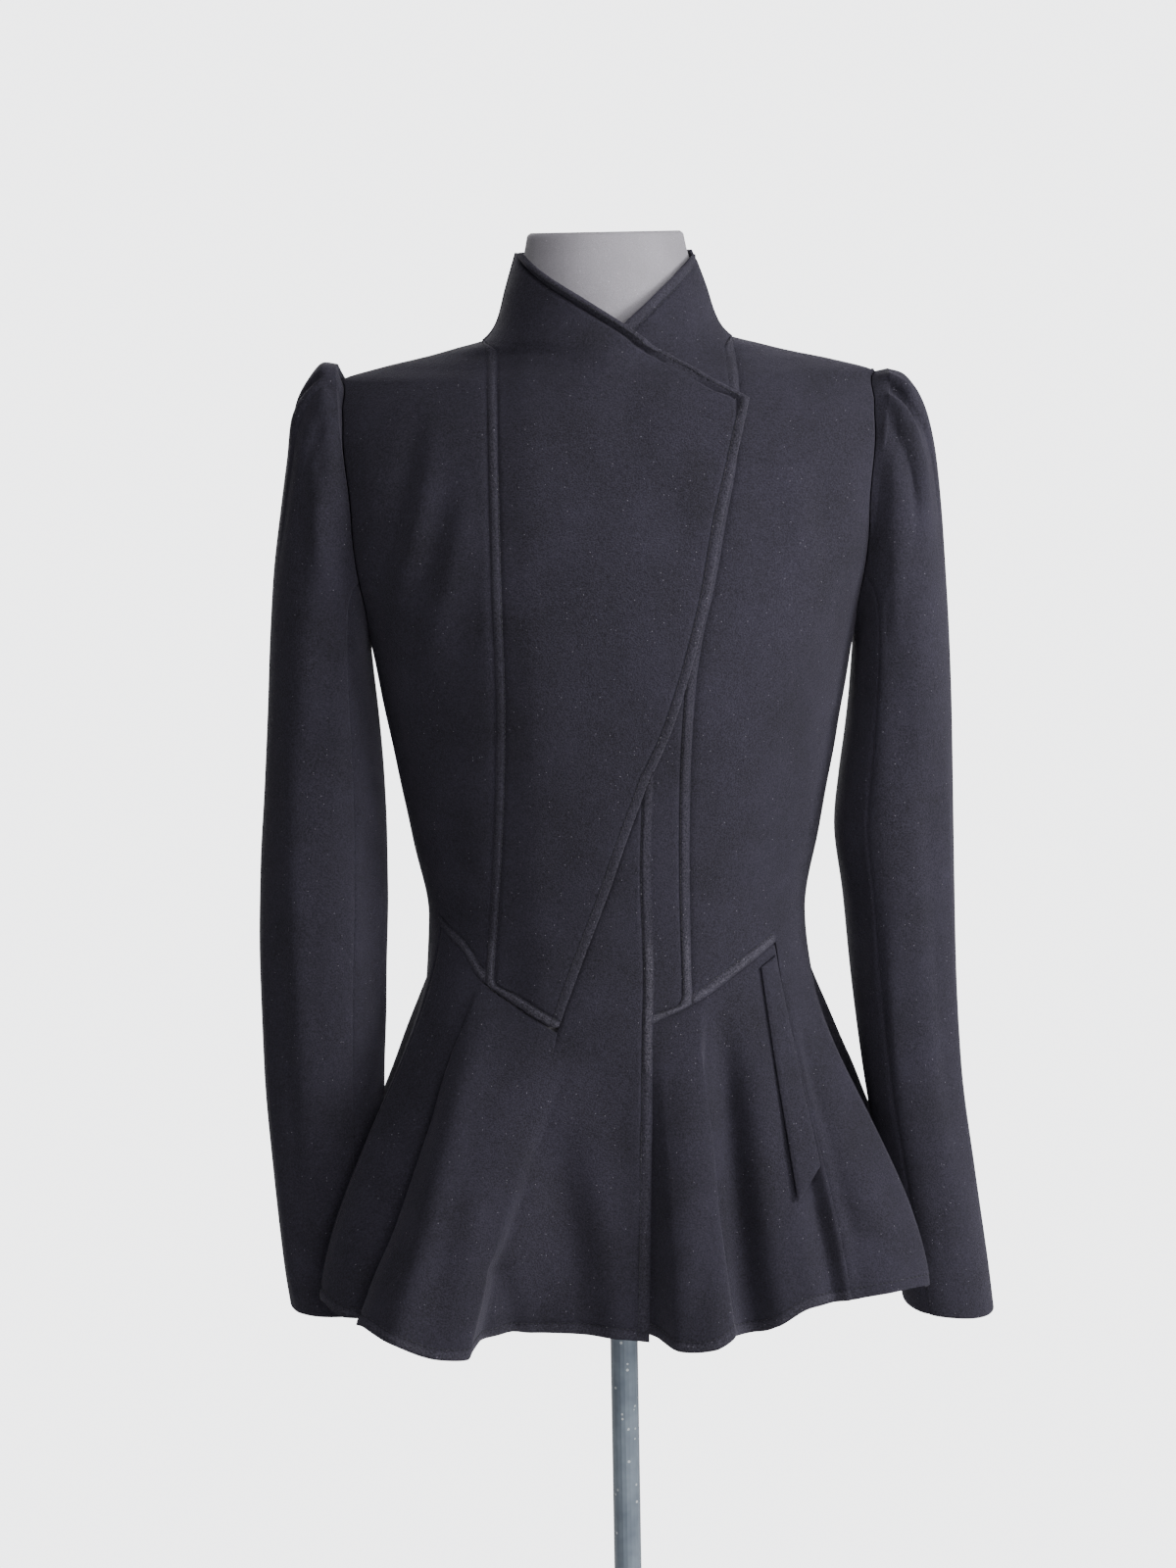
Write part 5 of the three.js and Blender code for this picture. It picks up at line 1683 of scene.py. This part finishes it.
BASE_PAINT = PaintFinish(
    name="base paint", dark=(0.035, 0.040, 0.046, 1), light=(0.060, 0.066, 0.074, 1),
    speck=(0.16, 0.16, 0.17, 1), speck_share=0.05, roughness=0.45,
)


# ------------------------------------------------------------------ form and stand
FORM_TOP, FORM_FOOT, FORM_ARM_PLATE, FORM_INSET = 1480.0, 800.0, 165.0, 8.5
FORM_NECK = Table("z half front back", [
    (1413, 69, 57, 63), (1422, 68, 58, 64), (1436, 66, 57.5, 64), (1455, 60, 54, 60.5),
    (1466, 56.5, 51.5, 57.5), (1474, 54.8, 50.4, 56.4), (1478, 54, 49.6, 55.6), (FORM_TOP, 51.5, 47, 53),
])
FORM_HIPS = Table("z half front back", [
    (985, 127, 86, 74), (940, 130, 90, 82), (880, 135, 96, 92), (830, 138, 97, 95), (FORM_FOOT, 138, 95, 94),
])


@dataclass(frozen=True)
class FormAndStand:
    """The padded dress form in its jersey, and its pole and base under better finishes."""

    jersey: bpy.types.Material
    pole_paint: bpy.types.Material
    base_paint: bpy.types.Material

    @staticmethod
    def oval(rows: Table, z: Array, angle: Array) -> Array:
        """Points of an oval: the half width times the sine, and a depth times the cosine.

        Args:
            rows: half width, front and back depth by height.
            z: the heights.
            angle: the angles, in degrees.

        Returns:
            The points.
        """
        s, c = np.sin(np.radians(angle)), np.cos(np.radians(angle))
        half, front, back = (rows.at(name, z) for name in ("half", "front", "back"))
        return np.stack(np.broadcast_arrays(half * s, -c * np.where(c > 0, front, back), z), -1)

    @staticmethod
    def torso(z: Array, angle: Array) -> Array:
        """Points a little inside the coat's bodice, cut flat where the arms would begin.

        Args:
            z: the heights.
            angle: the angles, in degrees.

        Returns:
            The points.
        """
        points = Bodice.point(z, angle)
        points = points - out_of_oval(points) * FORM_INSET
        points[..., 0] = np.clip(points[..., 0], -FORM_ARM_PLATE, FORM_ARM_PLATE)
        return points

    def form(self) -> None:
        """Makes the form as one closed loft: neck, shoulders, bust, waist and hips."""
        angle = np.linspace(0, 360, 81)[None, :-1]
        neck = np.concatenate([[FORM_TOP, 1479.4, 1478.6, 1477.4], steps((1475.5, 1413, 24))])[:, None]
        body = steps((1404, 1379, 12), (1375, 1020, 40))[:, None]
        hips = np.linspace(985, FORM_FOOT, 14)[:, None]
        rows = np.concatenate([self.oval(FORM_NECK, neck, angle), self.torso(body, angle),
                               self.oval(FORM_HIPS, hips, angle)])
        count, sides = rows.shape[:2]
        index = np.arange(count * sides).reshape(count, sides)
        walls = quads(index, closed=True).tolist()
        ends = [index[0].tolist(), index[-1][::-1].tolist()]
        mesh_object("padded_form", rows.reshape(-1, 3), walls + ends, self.jersey,
                    ["dress_form"])
        LOG.info("padded_form: %d rows", count)

    def build(self) -> None:
        """Makes the form, and finishes the solids of the stand."""
        self.form()
        for name, material in (("pole", self.pole_paint), ("base", self.base_paint)):
            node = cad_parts[name]
            node.data.materials.clear()
            node.data.materials.append(material)
            LOG.info("%s: finished", name)


# ------------------------------------------------------------------ studio
LIGHTS_AIM = 1.05  # height in metres that every light faces


@dataclass(frozen=True)
class Studio:
    """Camera, lights, floor and surroundings. Lengths are in metres, and angles in degrees."""

    camera_x: float = -0.01884
    distance: float = 2.4
    camera_z: float = 1.48
    pitch: float = 9.14
    roll: float = 1.05
    focal: float = 3500 / 1600 * 36  # in millimetres, for a sensor 36 mm long
    room: tuple[float, float, float, float] = (0.975, 0.98, 1.0, 1)
    seen: float = 4.0  # how bright the room looks
    ambient: float = 0.13  # how bright it is as a light
    fade_from: float = 0.5  # from the pole to where the floor begins to fade into the room
    fade_to: float = 1.15
    near_tone: float = 0.6  # the room's share in the floor near the pole

    def camera(self) -> None:
        """Makes the camera, which looks along +Y and a little down, turned slightly about its axis."""
        pitch, roll = math.radians(self.pitch), math.radians(self.roll)
        forward = Vector((0, math.cos(pitch), -math.sin(pitch)))
        level_up, level_right = Vector((0, math.sin(pitch), math.cos(pitch))), Vector((1, 0, 0))
        right = level_right * math.cos(roll) - level_up * math.sin(roll)
        up = level_up * math.cos(roll) + level_right * math.sin(roll)
        turn = Matrix((right, up, -forward)).transposed().to_4x4()
        place = Vector((self.camera_x + SHIFT[0], -self.distance + SHIFT[1], self.camera_z))
        data = bpy.data.cameras.new("camera")
        data.lens, data.sensor_width, data.sensor_fit = self.focal, 36.0, "AUTO"
        camera = bpy.data.objects.new("camera", data)
        camera.matrix_world = Matrix.Translation(place) @ turn
        bpy.context.scene.collection.objects.link(camera)
        bpy.context.scene.camera = camera

    @staticmethod
    def light(name: str, place: tuple[float, float, float], size: float, power: float) -> None:
        """Makes a square soft light that faces the coat's middle.

        Args:
            name: the light's name.
            place: where it stands.
            size: its side.
            power: its power, in watts.
        """
        data = bpy.data.lights.new(name, "AREA")
        data.size, data.energy = size, power
        lamp = bpy.data.objects.new(name, data)
        lamp.location = place
        direction = Vector((0, 0, LIGHTS_AIM)) - Vector(place)
        lamp.rotation_euler = direction.to_track_quat("-Z", "Y").to_euler()
        bpy.context.scene.collection.objects.link(lamp)

    def surroundings(self) -> None:
        """A pale room: bright where it is seen, and dimmer as a light."""
        world = bpy.data.worlds.new("pale room")
        world.use_nodes = True
        nodes = Nodes(world.node_tree)
        seen = nodes.add("ShaderNodeLightPath").outputs["Is Camera Ray"]
        strength = nodes.add("ShaderNodeMapRange", Value=seen, To_Min=self.ambient, To_Max=self.seen)
        nodes.feed(world.node_tree.nodes["Background"], {"Color": self.room, "Strength": strength.outputs[0]})
        bpy.context.scene.world = world

    def floor(self) -> None:
        """A pale floor that takes shadows near the base, and runs into the room's tone farther out.

        Where it is seen, the share of plain room tone rises with the distance from the pole, from
        near_tone at fade_from to all at fade_to.
        """
        mesh = bpy.data.meshes.new("floor")
        reach = 14.0
        corners = [(-reach, -reach, 0), (reach, -reach, 0), (reach, reach, 0), (-reach, reach, 0)]
        mesh.from_pydata(corners, [], [(0, 1, 2, 3)])
        material = bpy.data.materials.new("pale floor")
        material.use_nodes = True
        nodes = Nodes(material.node_tree)
        shader = material.node_tree.nodes["Principled BSDF"]
        nodes.feed(shader, {"Base Color": (0.84, 0.84, 0.85, 1), "Roughness": 0.8})
        at = nodes.add("ShaderNodeTexCoord").outputs["Object"]
        away = nodes.add("ShaderNodeVectorMath", {"operation": "LENGTH"})
        nodes.feed(away, {0: at})
        ramp = nodes.add("ShaderNodeMapRange", Value=away.outputs["Value"], From_Min=self.fade_from,
                         From_Max=self.fade_to, To_Min=self.near_tone)
        seen = nodes.add("ShaderNodeLightPath").outputs["Is Camera Ray"]
        plain = nodes.add("ShaderNodeEmission", Color=self.room, Strength=self.seen)
        both = nodes.add("ShaderNodeMixShader")
        nodes.feed(both, {
            0: nodes.times(ramp.outputs["Result"], seen), 1: shader.outputs[0], 2: plain.outputs[0],
        })
        nodes.feed(material.node_tree.nodes["Material Output"], {"Surface": both.outputs[0]})
        mesh.materials.append(material)
        floor = bpy.data.objects.new("floor", mesh)
        bpy.context.scene.collection.objects.link(floor)

    def build(self) -> None:
        """Makes the camera, the lights, the floor and the pale surroundings."""
        self.camera()
        self.light("key", (1.6, -0.95, 1.5), 0.8, 72)
        self.light("fill", (0.55, -2.5, 1.4), 1.0, 36)
        self.light("top", (0.35, -1.1, 2.7), 1.0, 29)
        self.light("back", (-0.7, 2.6, 1.9), 1.6, 75)
        self.surroundings()
        self.floor()


def main() -> None:
    """Builds the studio, the stand and the coat, in that order."""
    logging.basicConfig(level=logging.INFO, format="%(message)s")
    Studio().build()
    nap, specks = nap_group(), speck_group()
    wool, thread, jersey, pole_paint, base_paint = (
        finish.build(nap, specks) for finish in (WOOL, THREAD, JERSEY, POLE_PAINT, BASE_PAINT)
    )
    FormAndStand(jersey, pole_paint, base_paint).build()
    Coat(wool, thread).build()


if __name__ == "__main__":
    main()
